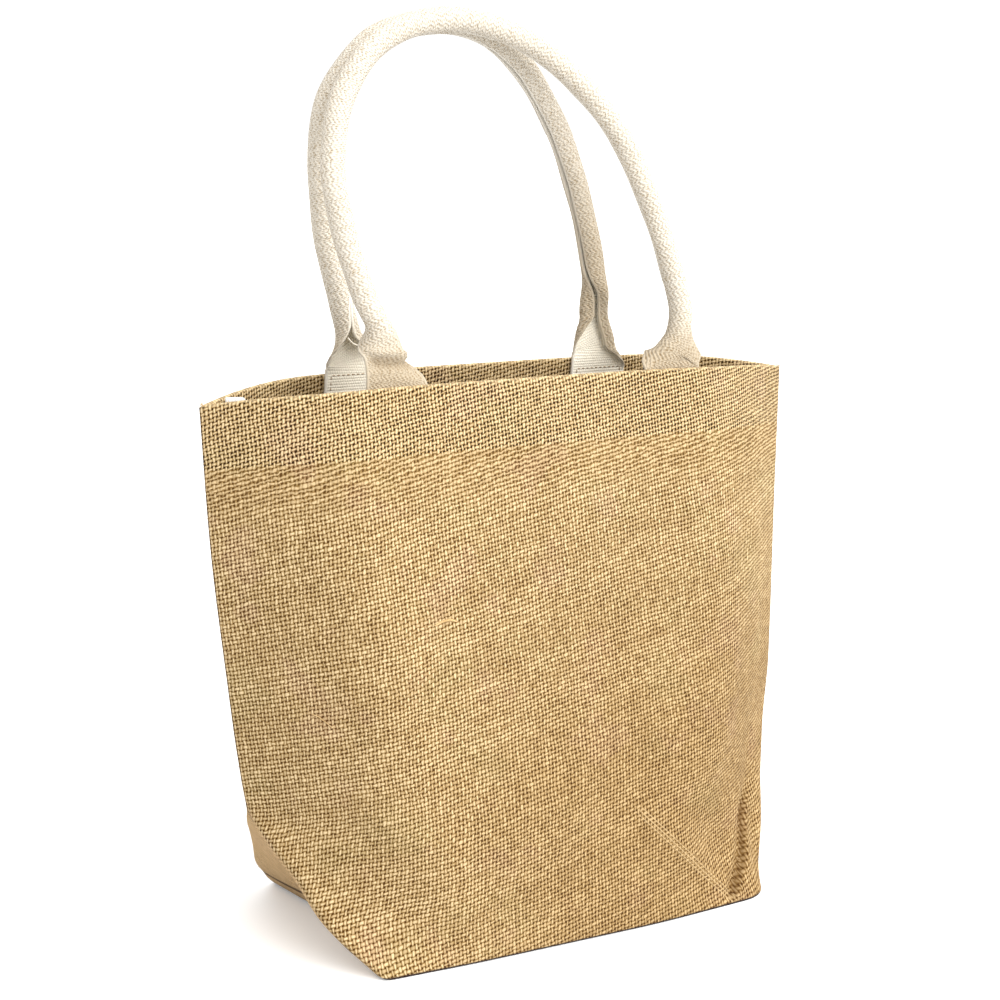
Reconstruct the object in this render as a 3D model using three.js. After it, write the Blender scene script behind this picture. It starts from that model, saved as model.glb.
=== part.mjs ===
// Jute tote bag: one length of jute sewn into a boxed bag, and two cotton webbing handles.
// Millimetres, +Z up, origin under the middle of the base, front towards -Y, width along X.

import * as THREE from 'three';

// Driving sizes.
const BAG_HEIGHT = 328.5;
const CLOTH_THICKNESS = 1.8;
const HEM_DEPTH = 38;
const HEM_THICKNESS = 2 * CLOTH_THICKNESS;
const HEM_STEP = 1.2;
const FOLD_RADIUS = 1.2;
const BASE_EDGE_RADIUS = 1.8;
const RIM_CORNER_DROP = 8.6;
const RIM_DROP_POWER = 3.8;
const PANEL_HALF_WIDTH = 200;
const SEAM_FADE = 12;
const FLOOR_FADE = 16;
const RIM_FADE = 90;

const WEBBING_WIDTH = 38;
const WEBBING_THICKNESS = 2;
const SEAM_GAP = 1;
const TUBE_RADIUS = (WEBBING_WIDTH / 2 + SEAM_GAP) / Math.PI;
const CREASE_RADIUS = 3.4;
const OPEN_START = 24;
const OPEN_END = 54;
const FOOT_DEPTH = 34;
const FOOT_CLEARANCE = 0.75;
const TURN_START = 22;
const TURN_END = 66;

const TAB_WIDTH = 19;
const TAB_HEIGHT = 26;
const TAB_THICKNESS = 1.2;
const TAB_INSET = 2.3;
const TAB_TOP = 323.6;

// Grid of the body's mesh.
const FRONT_COLUMNS = 11;
const SIDE_COLUMNS = 5;
const WALL_HEIGHTS = [
  7, 15, 25, 36, 48, 60, 72, 84, 97, 112, 130, 150, 172, 195, 218, 242, 266,
];
const HEM_HEIGHTS = [302, 316];
const COLUMN_CROWDING = 1.4;

// Middle of the front and of the back panel, at each height.
const MIDDLE = {
  columns: ['z', 'x', 'front_y', 'back_y'],
  rows: [
    [0, 1.5, -83.5, 83.5],
    [25, 2.5, -80.5, 81],
    [50, 3.5, -76.8, 78],
    [84, 5, -71.5, 73.5],
    [115, 6.5, -66.5, 69],
    [160, 6.5, -59.5, 62.5],
    [240, 3, -46.5, 50.5],
    [BAG_HEIGHT, 0, -32.5, 37],
  ],
};

// Side seams, which run down to the middle of the short sides of the base.
const SEAM_LEFT = {
  columns: ['z', 'x', 'y'],
  rows: [
    [0, -108, 5],
    [25, -129, 4],
    [50, -149, 2.5],
    [70, -162.5, 1],
    [84, -169.5, 0],
    [115, -175, 0],
    [160, -180.5, 0],
    [240, -189, 0],
    [BAG_HEIGHT, -194.3, 0],
  ],
};
const SEAM_RIGHT = {
  columns: ['z', 'x', 'y'],
  rows: [
    [0, 145, -11],
    [25, 157, -8],
    [50, 169, -5],
    [84, 184, -1],
    [105, 191.5, 0],
    [130, 194, 0],
    [240, 194, 0],
    [BAG_HEIGHT, 194.3, 0],
  ],
};

// A quarter of a section runs from the panel's middle round a soft knee, level with that middle, to its
// edge, and bows out a little on the way. The edge is the crease that climbs from a corner of the base to
// the seam, and above that the seam itself. soft is how far the crease's bend reaches.
const FRONT_LEFT = {
  columns: ['z', 'knee_x', 'edge_x', 'edge_y', 'soft', 'bow'],
  rows: [
    [0, -62, -121.5, -81.5, 6, 0],
    [25, -74, -144, -56, 7, 0.6],
    [50, -86, -155.5, -34, 8, 1.4],
    [70, -95, -166, -15, 7, 2.2],
    [84, -100, -169.5, -3.5, 3, 2.8],
    [115, -106, -173.5, -2.5, 2, 3],
    [160, -111, -179, -2.5, 2, 3],
    [240, -119, -187, -2.5, 2, 3],
    [BAG_HEIGHT, -125, -191.5, -2.5, 2, 2.8],
  ],
};
const FRONT_RIGHT = {
  columns: ['z', 'knee_x', 'edge_x', 'edge_y', 'soft', 'bow'],
  rows: [
    [0, 62, 149, -77, 24, 0],
    [25, 74, 159, -55, 12, 0],
    [50, 88, 169, -36, 9, 0.6],
    [84, 104, 183, -14, 7, 1.8],
    [105, 111, 190.5, -3.5, 3, 2.4],
    [130, 116, 192.5, -2.5, 2, 3],
    [240, 123, 192, -2.5, 2, 3],
    [BAG_HEIGHT, 125, 191.5, -2.5, 2, 2.8],
  ],
};
const BACK_LEFT = {
  columns: ['z', 'knee_x', 'edge_x', 'edge_y', 'soft', 'bow'],
  rows: [
    [0, -62, -122, 85.5, 6, 0],
    [25, -74, -144, 60, 7, 0.6],
    [50, -86, -155.5, 36, 8, 1.4],
    [70, -95, -166, 16, 7, 2.2],
    [84, -100, -169.5, 3.5, 3, 2.8],
    [115, -106, -173.5, 2.5, 2, 3],
    [160, -111, -179, 2.5, 2, 3],
    [240, -119, -187, 2.5, 2, 3],
    [BAG_HEIGHT, -126, -191.5, 2.5, 2, 2.8],
  ],
};
const BACK_RIGHT = {
  columns: ['z', 'knee_x', 'edge_x', 'edge_y', 'soft', 'bow'],
  rows: [
    [0, 60, 123, 77, 7, 0],
    [25, 74, 145, 56, 9, 0.4],
    [50, 88, 161, 36, 9, 1],
    [84, 104, 181, 12, 7, 2],
    [105, 111, 190.5, 3.5, 3, 2.6],
    [130, 116, 192.5, 2.5, 2, 3],
    [240, 123, 192, 2.5, 2, 3],
    [BAG_HEIGHT, 126, 191.5, 2.5, 2, 2.8],
  ],
};

// Folds and dents in the panels. along is the distance across the cloth from the panel's middle, and
// turn the fold's angle from level. A negative depth is a trough and a positive one a ridge.
const FRONT_FOLDS = {
  columns: ['along', 'z', 'half_length', 'half_width', 'turn', 'depth'],
  rows: [
    [148, 38, 38, 9, 81, -4.5],
    [92, 31, 42, 8, -45, 2.2],
    [106, 46, 44, 18, -42, -2.6],
    [10, 96, 44, 12, 62, 1.6],
    [-40, 70, 60, 26, 14, 2.2],
    [-95, 108, 60, 34, 70, -2.6],
    [60, 170, 90, 38, -35, -1.8],
    [-60, 210, 80, 30, 28, 1.4],
  ],
};
const BACK_FOLDS = {
  columns: ['along', 'z', 'half_length', 'half_width', 'turn', 'depth'],
  rows: [
    [-104, 34, 44, 9, 46, 2.4],
    [-96, 58, 46, 20, 42, -3],
    [120, 36, 44, 10, -52, -3],
    [30, 110, 90, 34, 20, 2],
    [-50, 200, 90, 36, -30, -2],
  ],
};

// Handles: the centre line of the tube between its two feet, and for each foot its middle on the rim and
// the heights above the rim between which its left and its right edge close up. A foot rolls up evenly, or
// is creased flat.
const HANDLE_FRONT = {
  side: -1,
  feet: {
    columns: ['x', 'left_start', 'left_end', 'right_start', 'right_end', 'creased'],
    rows: [
      [-87.5, 15, 28, -4, 25, false],
      [95, -3, 22, 2, 24, false],
    ],
  },
  columns: ['x', 'y', 'z'],
  rows: [
    [-89.5, -19.5, 351],
    [-101.5, -16, 376],
    [-111, -10.5, 410],
    [-115.5, -4, 452],
    [-106, 1.5, 488],
    [-79, 6.5, 518.5],
    [-40, 8, 529],
    [-3, 7, 523.5],
    [30, 4.5, 506],
    [62, 0, 476],
    [86, -7, 432],
    [101, -14, 386],
    [106, -18, 362],
    [102, -20.5, 346],
  ],
};
const HANDLE_BACK = {
  side: 1,
  feet: {
    columns: ['x', 'left_start', 'left_end', 'right_start', 'right_end', 'creased'],
    rows: [
      [-86.5, 2, 28, 2, 28, false],
      [79, 10, 21, -10, 13, true],
    ],
  },
  columns: ['x', 'y', 'z'],
  rows: [
    [-92, 25, 348],
    [-99.5, 25, 374],
    [-108, 25, 412],
    [-110.5, 25.5, 448],
    [-104.5, 25.5, 486],
    [-78, 26, 517],
    [-41, 26, 528],
    [-10, 26, 524],
    [19, 26, 504],
    [42, 26, 470],
    [60, 25.5, 425],
    [70.5, 25, 378],
    [73.5, 25, 352],
  ],
};

const ARCH_CENTER = new THREE.Vector3(-6, 12, 425);
const FOOT_STRAIGHT = 8;
const FOOT_REACH = 74;
const FOOT_STATIONS = 18;
const ARCH_STATIONS = 36;
const WEBBING_SEGMENTS = 16;
const FLAT_CURL = 1e-3;

const JUTE = { color: 0xb89a6a, roughness: 0.95, metalness: 0 };
const COTTON = { color: 0xe9dfce, roughness: 0.9, metalness: 0 };
const TAPE = { color: 0xf2f0ec, roughness: 0.8, metalness: 0 };

// Tables.

function slopeAt(rows, index, column) {
  const before = rows[Math.max(index - 1, 0)];
  const after = rows[Math.min(index + 1, rows.length - 1)];
  return (after[column] - before[column]) / (after[0] - before[0]);
}

// A row of a table at any height, on a smooth curve through its rows.
function rowAt(table, z) {
  const { columns, rows } = table;
  let index = 0;
  while (index < rows.length - 2 && z > rows[index + 1][0]) index += 1;
  const span = rows[index + 1][0] - rows[index][0];
  const t = THREE.MathUtils.clamp((z - rows[index][0]) / span, 0, 1);
  const result = {};
  columns.forEach((name, column) => {
    const start = rows[index][column];
    const end = rows[index + 1][column];
    const leaving = slopeAt(rows, index, column) * span;
    const arriving = slopeAt(rows, index + 1, column) * span;
    result[name] = start + t * leaving
      + t * t * (3 * (end - start) - 2 * leaving - arriving)
      + t * t * t * (2 * (start - end) + leaving + arriving);
  });
  return result;
}

function rowsOf(table) {
  return table.rows.map((row) => Object.fromEntries(table.columns.map((name, i) => [name, row[i]])));
}

// Sections of the body.

// A point that bows out of the straight line between two others, away from the section's middle.
function bowed(from, to, bow) {
  const length = Math.hypot(to.x - from.x, to.y - from.y);
  const side = Math.sign(from.x * to.y - from.y * to.x);
  return {
    x: (from.x + to.x) / 2 + (side * bow * (to.y - from.y)) / length,
    y: (from.y + to.y) / 2 - (side * bow * (to.x - from.x)) / length,
  };
}

// The points that steer a section, counter-clockwise from the middle of the front, seen from above.
function steeringPoints(z) {
  const middle = rowAt(MIDDLE, z);
  const left = rowAt(SEAM_LEFT, z);
  const right = rowAt(SEAM_RIGHT, z);
  const quarter = (table, panelY) => {
    const row = rowAt(table, z);
    const knee = { x: row.knee_x, y: panelY };
    const edge = { x: row.edge_x, y: row.edge_y, soft: row.soft };
    return [knee, bowed(knee, edge, row.bow), edge];
  };
  return [
    { x: middle.x, y: middle.front_y },
    ...quarter(FRONT_RIGHT, middle.front_y),
    { x: right.x, y: right.y },
    ...quarter(BACK_RIGHT, middle.back_y).reverse(),
    { x: middle.x, y: middle.back_y },
    ...quarter(BACK_LEFT, middle.back_y),
    { x: left.x, y: left.y },
    ...quarter(FRONT_LEFT, middle.front_y).reverse(),
  ];
}

function edgeNormal(from, to) {
  const length = Math.hypot(to.x - from.x, to.y - from.y);
  return { x: (from.y - to.y) / length, y: (to.x - from.x) / length };
}

// The same points moved inwards by the cloth's thickness, mitred at every turn.
function insetPoints(points, thickness) {
  const count = points.length;
  return points.map((point, i) => {
    const before = edgeNormal(points[(i + count - 1) % count], point);
    const after = edgeNormal(point, points[(i + 1) % count]);
    const scale = thickness / (1 + before.x * after.x + before.y * after.y);
    return {
      ...point,
      x: point.x + (before.x + after.x) * scale,
      y: point.y + (before.y + after.y) * scale,
    };
  });
}

function towards(from, to, distance) {
  const share = distance / Math.hypot(to.x - from.x, to.y - from.y);
  return new THREE.Vector2(from.x + (to.x - from.x) * share, from.y + (to.y - from.y) * share);
}

// One quarter of a section as a path with soft bends, given its middle, knee, bow, edge and seam.
// Its first part ends on the crease, and its second part on the seam.
function quarterPaths([middle, knee, bow, edge, seam]) {
  const distance = (a, b) => Math.hypot(b.x - a.x, b.y - a.y);
  const soft = Math.min(edge.soft, 0.8 * distance(edge, seam), 0.5 * distance(bow, edge));
  const bowReach = Math.min(distance(bow, edge) - soft, 0.5 * distance(knee, bow));
  const kneeReach = Math.min(distance(knee, bow) - bowReach, 0.9 * distance(knee, middle));
  const bendStart = towards(edge, bow, soft);
  const bendEnd = towards(edge, seam, soft);
  const bendMiddle = bendStart.clone().add(bendEnd).multiplyScalar(0.25);
  bendMiddle.x += edge.x / 2;
  bendMiddle.y += edge.y / 2;
  const panel = new THREE.Path();
  panel.moveTo(middle.x, middle.y);
  [[knee, middle, bow, kneeReach], [bow, knee, edge, bowReach]].forEach(([bend, from, to, reach]) => {
    const start = towards(bend, from, reach);
    const end = towards(bend, to, reach);
    panel.lineTo(start.x, start.y);
    panel.quadraticCurveTo(bend.x, bend.y, end.x, end.y);
  });
  panel.lineTo(bendStart.x, bendStart.y);
  panel.quadraticCurveTo((bendStart.x + edge.x) / 2, (bendStart.y + edge.y) / 2, bendMiddle.x, bendMiddle.y);
  const side = new THREE.Path();
  side.moveTo(bendMiddle.x, bendMiddle.y);
  side.quadraticCurveTo((bendEnd.x + edge.x) / 2, (bendEnd.y + edge.y) / 2, bendEnd.x, bendEnd.y);
  side.lineTo(seam.x, seam.y);
  return { panel, side };
}

// Points of a quarter, from the panel's middle to the seam, closer together at the crease.
function quarterPoints(steering) {
  const { panel, side } = quarterPaths(steering);
  const panelLength = panel.getLength();
  const sideLength = side.getLength();
  const points = [];
  for (let i = 0; i <= FRONT_COLUMNS; i += 1) {
    const eased = 1 - (1 - i / FRONT_COLUMNS) ** COLUMN_CROWDING;
    const { x, y } = panel.getPointAt(eased);
    points.push({ x, y, share: (eased * panelLength) / (panelLength + sideLength) });
  }
  for (let i = 1; i <= SIDE_COLUMNS; i += 1) {
    const even = i / SIDE_COLUMNS;
    const eased = (even + even * even) / 2;
    const { x, y } = side.getPointAt(eased);
    points.push({ x, y, share: (panelLength + eased * sideLength) / (panelLength + sideLength) });
  }
  return points;
}

// The four quarters as one loop, counter-clockwise seen from above, from the middle of the front.
function sectionLoop(p) {
  const marked = (steering, panel, sign) => quarterPoints(steering)
    .map((point) => ({ ...point, panel, sign }));
  return [
    ...marked([p[0], p[1], p[2], p[3], p[4]], 'front', 1),
    ...marked([p[8], p[7], p[6], p[5], p[4]], 'back', 1).reverse().slice(1),
    ...marked([p[8], p[9], p[10], p[11], p[12]], 'back', -1).slice(1),
    ...marked([p[0], p[15], p[14], p[13], p[12]], 'front', -1).reverse().slice(1, -1),
  ];
}

function foldDepth(folds, along, z) {
  return rowsOf(folds).reduce((sum, fold) => {
    const turn = THREE.MathUtils.degToRad(fold.turn);
    const dx = along - fold.along;
    const dz = z - fold.z;
    const lengthwise = (dx * Math.cos(turn) + dz * Math.sin(turn)) / fold.half_length;
    const across = (dz * Math.cos(turn) - dx * Math.sin(turn)) / fold.half_width;
    return sum + fold.depth * Math.exp(-lengthwise * lengthwise - across * across);
  }, 0);
}

// How far the folds push the outer face out at each column of a section.
function foldDepths(z, loop) {
  const folds = { front: FRONT_FOLDS, back: BACK_FOLDS };
  const floorFade = THREE.MathUtils.smoothstep(z, 0, FLOOR_FADE);
  const rimFade = 1 - THREE.MathUtils.smoothstep(z, BAG_HEIGHT - RIM_FADE, BAG_HEIGHT - HEM_DEPTH);
  return loop.map((point) => {
    const along = point.sign * point.share * PANEL_HALF_WIDTH;
    return foldDepth(folds[point.panel], along, z) * (1 - point.share ** SEAM_FADE) * floorFade * rimFade;
  });
}

// A closed section of the body at a height, inset from the outer face. The folds move both faces alike.
function section(z, inset) {
  const steering = steeringPoints(z);
  const outer = sectionLoop(steering);
  const depths = foldDepths(z, outer);
  const loop = sectionLoop(insetPoints(steering, inset));
  return loop.map((point, i) => {
    const before = outer[(i + outer.length - 1) % outer.length];
    const after = outer[(i + 1) % outer.length];
    const inwards = edgeNormal(before, after);
    const drop = RIM_CORNER_DROP * outer[i].share ** RIM_DROP_POWER * (z / BAG_HEIGHT) ** 2;
    return new THREE.Vector3(point.x - inwards.x * depths[i], point.y - inwards.y * depths[i], z - drop);
  });
}

// Closed meshes.

class Shell {
  constructor() {
    this.points = [];
    this.faces = [];
  }

  add(point) {
    this.points.push(point);
    return this.points.length - 1;
  }

  quad(a, b, c, d) {
    this.faces.push([a, b, c], [a, c, d]);
  }

  geometry() {
    const geometry = new THREE.BufferGeometry();
    const values = this.points.flatMap((point) => [point.x, point.y, point.z]);
    geometry.setAttribute('position', new THREE.Float32BufferAttribute(values, 3));
    geometry.setIndex(this.faces.flat());
    geometry.computeVertexNormals();
    return geometry;
  }
}

// Joins two closed rings of the same number of points; the faces look outwards when the second ring is
// above the first.
function joinRings(shell, lower, upper) {
  lower.forEach((_, i) => {
    const next = (i + 1) % lower.length;
    shell.quad(lower[i], lower[next], upper[next], upper[i]);
  });
}

// Fills the lowest ring with a grid that runs between its long and short sides.
function fillBase(shell, ring, looksDown) {
  const across = 2 * FRONT_COLUMNS;
  const deep = 2 * SIDE_COLUMNS;
  const at = (index) => ring[(index + ring.length) % ring.length];
  const front = (i) => at(i - FRONT_COLUMNS);
  const right = (j) => at(FRONT_COLUMNS + j);
  const back = (i) => at(FRONT_COLUMNS + deep + across - i);
  const left = (j) => at(-FRONT_COLUMNS - j);
  const point = (index) => shell.points[index];
  const grid = [];
  for (let j = 0; j <= deep; j += 1) {
    const row = [];
    for (let i = 0; i <= across; i += 1) {
      if (j === 0) row.push(front(i));
      else if (j === deep) row.push(back(i));
      else if (i === 0) row.push(left(j));
      else if (i === across) row.push(right(j));
      else {
        const s = i / across;
        const t = j / deep;
        const blended = new THREE.Vector3()
          .addScaledVector(point(front(i)), 1 - t)
          .addScaledVector(point(back(i)), t)
          .addScaledVector(point(left(j)), 1 - s)
          .addScaledVector(point(right(j)), s)
          .addScaledVector(point(front(0)), -(1 - s) * (1 - t))
          .addScaledVector(point(front(across)), -s * (1 - t))
          .addScaledVector(point(back(0)), -(1 - s) * t)
          .addScaledVector(point(back(across)), -s * t);
        row.push(shell.add(blended));
      }
    }
    grid.push(row);
  }
  for (let j = 0; j < deep; j += 1) {
    for (let i = 0; i < across; i += 1) {
      const corners = [grid[j][i], grid[j][i + 1], grid[j + 1][i + 1], grid[j + 1][i]];
      if (looksDown) corners.reverse();
      shell.quad(...corners);
    }
  }
}

// The outer face from the floor to the rim, over the rim's fold and down the inner face to the base.
function bodyGeometry() {
  const shell = new Shell();
  const ring = (z, inset, lift = 0) => section(z, inset).map((point) => {
    point.z += lift;
    return shell.add(point);
  });
  const hemEdge = BAG_HEIGHT - HEM_DEPTH;
  const outer = [ring(0, BASE_EDGE_RADIUS * 0.7), ring(BASE_EDGE_RADIUS, 0)];
  [...WALL_HEIGHTS, hemEdge, ...HEM_HEIGHTS].forEach((z) => outer.push(ring(z, 0)));
  outer.push(ring(BAG_HEIGHT - FOLD_RADIUS, 0));
  outer.push(ring(BAG_HEIGHT, FOLD_RADIUS * 0.6));
  const inner = [ring(BAG_HEIGHT, HEM_THICKNESS - FOLD_RADIUS * 0.6)];
  inner.push(ring(BAG_HEIGHT - FOLD_RADIUS, HEM_THICKNESS));
  [...HEM_HEIGHTS].reverse().forEach((z) => inner.push(ring(z, HEM_THICKNESS)));
  inner.push(ring(hemEdge + HEM_STEP, HEM_THICKNESS));
  inner.push(ring(hemEdge, CLOTH_THICKNESS));
  [...WALL_HEIGHTS].reverse().forEach((z) => inner.push(ring(z, CLOTH_THICKNESS)));
  inner.push(ring(0, CLOTH_THICKNESS, CLOTH_THICKNESS));
  const rings = [...outer, ...inner];
  for (let i = 0; i < rings.length - 1; i += 1) joinRings(shell, rings[i], rings[i + 1]);
  fillBase(shell, rings[0], true);
  fillBase(shell, rings[rings.length - 1], false);
  return shell.geometry();
}

// Handles.

// Distance along Y of the hem's inner face at a place on the panel.
function hemFaceY(side, x, z) {
  const ring = section(z, HEM_THICKNESS).filter((point) => Math.sign(point.y) === side);
  const sorted = ring.sort((a, b) => a.x - b.x);
  const next = sorted.findIndex((point) => point.x >= x);
  const a = sorted[next - 1];
  const b = sorted[next];
  return THREE.MathUtils.mapLinear(x, a.x, b.x, a.y, b.y);
}

// A foot lies flat just off the hem's inner face, from one edge of the webbing to the other.
function footChord(side, x, z) {
  const height = Math.min(z, BAG_HEIGHT - FOLD_RADIUS);
  const left = hemFaceY(side, x - WEBBING_WIDTH / 2, height);
  const right = hemFaceY(side, x + WEBBING_WIDTH / 2, height);
  return { y: (left + right) / 2, slope: (right - left) / WEBBING_WIDTH };
}

// The direction from a foot into the bag.
function intoBag(side, x, z) {
  const { slope } = footChord(side, x, z);
  return new THREE.Vector3(slope * side, -side, 0).normalize();
}

function footCenter(side, x, z) {
  const offset = FOOT_CLEARANCE + WEBBING_THICKNESS / 2 + TUBE_RADIUS;
  const face = new THREE.Vector3(x, footChord(side, x, z).y, z);
  return face.addScaledVector(intoBag(side, x, z), offset);
}

function handleCurve(handle) {
  const { side } = handle;
  const feet = rowsOf(handle.feet);
  const arch = rowsOf(handle).map((row) => new THREE.Vector3(row.x, row.y, row.z));
  const rises = [-FOOT_DEPTH, -FOOT_DEPTH / 2, -FOLD_RADIUS, FOOT_STRAIGHT];
  const foot = (x) => rises.map((rise) => footCenter(side, x, BAG_HEIGHT + rise));
  const points = [...foot(feet[0].x), ...arch, ...foot(feet[1].x).reverse()];
  return new THREE.CatmullRomCurve3(points, false, 'centripetal');
}

// How one half of the webbing bends at a height above the rim. It is flat as far as the bend.
function halfBend(foot, edge, rise) {
  const start = foot[`${edge}_start`];
  const end = foot[`${edge}_end`];
  if (!foot.creased) {
    const curl = THREE.MathUtils.smoothstep(rise, start, end);
    return { flat: 0, radius: TUBE_RADIUS / Math.max(curl, FLAT_CURL) };
  }
  const half = WEBBING_WIDTH / 2;
  const open = THREE.MathUtils.smoothstep(rise, OPEN_START, OPEN_END);
  const radius = THREE.MathUtils.lerp(CREASE_RADIUS, TUBE_RADIUS, open);
  const closed = Math.max(half - Math.PI * radius + SEAM_GAP, 0) / 2;
  const curl = THREE.MathUtils.clamp((rise - start) / (end - start), 0, 1);
  return { flat: THREE.MathUtils.lerp(half, closed, curl), radius };
}

// Where the webbing lies at a distance from its middle: flat, then round the bend, and back as a flap.
function bentPoint(distance, { flat, radius }) {
  const turned = THREE.MathUtils.clamp((distance - flat) / radius, 0, Math.PI);
  const flap = Math.max(distance - flat - Math.PI * radius, 0);
  return {
    along: Math.min(distance, flat) + radius * Math.sin(turned) - flap,
    up: radius * (1 - Math.cos(turned)),
    turned,
  };
}

// The webbing at one place of its route: flat in the foot, rolled round into a tube above it.
// The seam of the tube looks into the bag at the feet, and to the inner side of the arch above them.
function webbingSection(center, tangent, handle) {
  const rise = center.z - BAG_HEIGHT;
  const foot = rowsOf(handle.feet)[center.x < 0 ? 0 : 1];
  const turn = THREE.MathUtils.smoothstep(rise, TURN_START, TURN_END);
  const intoArch = ARCH_CENTER.clone().sub(center);
  intoArch.addScaledVector(tangent, -intoArch.dot(tangent)).normalize();
  const normal = intoBag(handle.side, foot.x, BAG_HEIGHT).multiplyScalar(1 - turn);
  normal.addScaledVector(intoArch, turn);
  normal.addScaledVector(tangent, -normal.dot(tangent)).normalize();
  const across = new THREE.Vector3().crossVectors(tangent, normal);
  const spine = center.clone().addScaledVector(normal, -TUBE_RADIUS);
  const bends = [-1, 1].map((sign) => {
    const edge = sign * across.x < 0 ? 'left' : 'right';
    return halfBend(foot, edge, rise + (sign * across.z * WEBBING_WIDTH) / 2);
  });
  const outer = [];
  const inner = [];
  for (let i = 0; i <= WEBBING_SEGMENTS; i += 1) {
    const place = (i / WEBBING_SEGMENTS - 0.5) * WEBBING_WIDTH;
    const sign = Math.sign(place);
    const { along, up, turned } = bentPoint(Math.abs(place), bends[place < 0 ? 0 : 1]);
    const outwards = across.clone().multiplyScalar(sign * Math.sin(turned))
      .addScaledVector(normal, -Math.cos(turned));
    const middle = spine.clone().addScaledVector(across, sign * along).addScaledVector(normal, up);
    outer.push(middle.clone().addScaledVector(outwards, WEBBING_THICKNESS / 2));
    inner.push(middle.addScaledVector(outwards, -WEBBING_THICKNESS / 2));
  }
  return [...inner, ...outer.reverse()];
}

// Places along a handle, as shares of its length, closer together where the webbing curls up at its feet.
function handleShares(length) {
  const footShare = FOOT_REACH / length;
  const count = 2 * FOOT_STATIONS + ARCH_STATIONS;
  const shares = [];
  for (let i = 0; i <= count; i += 1) {
    const fromEnd = Math.min(i, count - i);
    const onFoot = (footShare * fromEnd) / FOOT_STATIONS;
    const onArch = footShare + ((1 - 2 * footShare) * (fromEnd - FOOT_STATIONS)) / ARCH_STATIONS;
    const share = fromEnd < FOOT_STATIONS ? onFoot : onArch;
    shares.push(i <= count / 2 ? share : 1 - share);
  }
  return shares;
}

function handleGeometry(handle) {
  const shell = new Shell();
  const curve = handleCurve(handle);
  const rings = handleShares(curve.getLength()).map((share) => {
    const loop = webbingSection(curve.getPointAt(share), curve.getTangentAt(share), handle);
    return loop.map((point) => shell.add(point));
  });
  for (let i = 0; i < rings.length - 1; i += 1) joinRings(shell, rings[i], rings[i + 1]);
  const last = 2 * WEBBING_SEGMENTS + 1;
  for (let i = 0; i < WEBBING_SEGMENTS; i += 1) {
    const start = rings[0];
    const end = rings[rings.length - 1];
    shell.quad(start[last - i], start[last - i - 1], start[i + 1], start[i]);
    shell.quad(end[i], end[i + 1], end[last - i - 1], end[last - i]);
  }
  return shell.geometry();
}

// A short bare tape sewn into the left side seam, standing inside the mouth.
function tabGeometry() {
  const seams = [TAB_TOP - TAB_HEIGHT, TAB_TOP].map((z) => section(z, HEM_THICKNESS)
    .reduce((a, b) => (a.x < b.x ? a : b)));
  const start = Math.max(...seams.map((seam) => seam.x)) + TAB_INSET;
  const geometry = new THREE.BoxGeometry(TAB_WIDTH, TAB_THICKNESS, TAB_HEIGHT);
  return geometry.translate(start + TAB_WIDTH / 2, seams[1].y, TAB_TOP - TAB_HEIGHT / 2);
}

function clothMesh(name, geometry, finish) {
  const mesh = new THREE.Mesh(geometry, new THREE.MeshStandardMaterial(finish));
  mesh.name = name;
  return mesh;
}

const bag = new THREE.Group();
bag.add(clothMesh('body', bodyGeometry(), JUTE));
bag.add(clothMesh('handle_front', handleGeometry(HANDLE_FRONT), COTTON));
bag.add(clothMesh('handle_back', handleGeometry(HANDLE_BACK), COTTON));
bag.add(clothMesh('seam_tab', tabGeometry(), TAPE));

export default bag;
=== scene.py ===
"""Looks of a jute tote bag: an open plain weave, and two handles of rolled cotton webbing."""

import logging
import math
import random
from collections.abc import Callable, Sequence
from dataclasses import dataclass
from enum import Enum

import bpy
import numpy as np
from mathutils import Matrix, Vector


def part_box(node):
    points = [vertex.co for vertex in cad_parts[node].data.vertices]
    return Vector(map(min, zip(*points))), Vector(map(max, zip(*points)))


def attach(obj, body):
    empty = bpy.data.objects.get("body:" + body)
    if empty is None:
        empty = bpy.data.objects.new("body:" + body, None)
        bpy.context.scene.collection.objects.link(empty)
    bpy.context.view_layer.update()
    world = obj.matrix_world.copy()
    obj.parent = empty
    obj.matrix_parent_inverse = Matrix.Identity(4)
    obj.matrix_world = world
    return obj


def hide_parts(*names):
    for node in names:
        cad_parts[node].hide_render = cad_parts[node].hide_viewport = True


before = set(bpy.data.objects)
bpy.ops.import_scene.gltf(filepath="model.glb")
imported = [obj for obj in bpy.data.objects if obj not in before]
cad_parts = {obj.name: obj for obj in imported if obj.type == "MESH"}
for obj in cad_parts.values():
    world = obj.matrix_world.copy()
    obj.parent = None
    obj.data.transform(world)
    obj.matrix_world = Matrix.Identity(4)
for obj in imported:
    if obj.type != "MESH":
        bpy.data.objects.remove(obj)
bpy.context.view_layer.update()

LOG = logging.getLogger("jute_tote_bag")
MM = 0.001
BAG_HEIGHT = 328.5
PANEL_HALF_WIDTH = 200.0
BASE_FRONT = 83.5
CLOTH_THICKNESS = 1.8
HEM_DEPTH = 38.0
HEM_THICKNESS = 2 * CLOTH_THICKNESS
FOLD_RADIUS = 1.2
WEBBING_WIDTH = 38.0
WEBBING_THICKNESS = 2.0
SEAM_GAP = 0.06
LEAST_CURL = 0.001

Piece = bpy.types.Object
Material = bpy.types.Material
Tree = bpy.types.NodeTree
Node = bpy.types.Node
Socket = bpy.types.NodeSocket
Number = float | int | Socket
Colour = tuple[float, float, float]
Place = tuple[float, float, float]
Array = np.ndarray
Point = Array | float
Span = tuple[float, float]
Face = tuple[int, ...]
WHITE = (1.0, 1.0, 1.0, 1.0)


# Sizes read at a height, and soft steps between two values.


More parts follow.
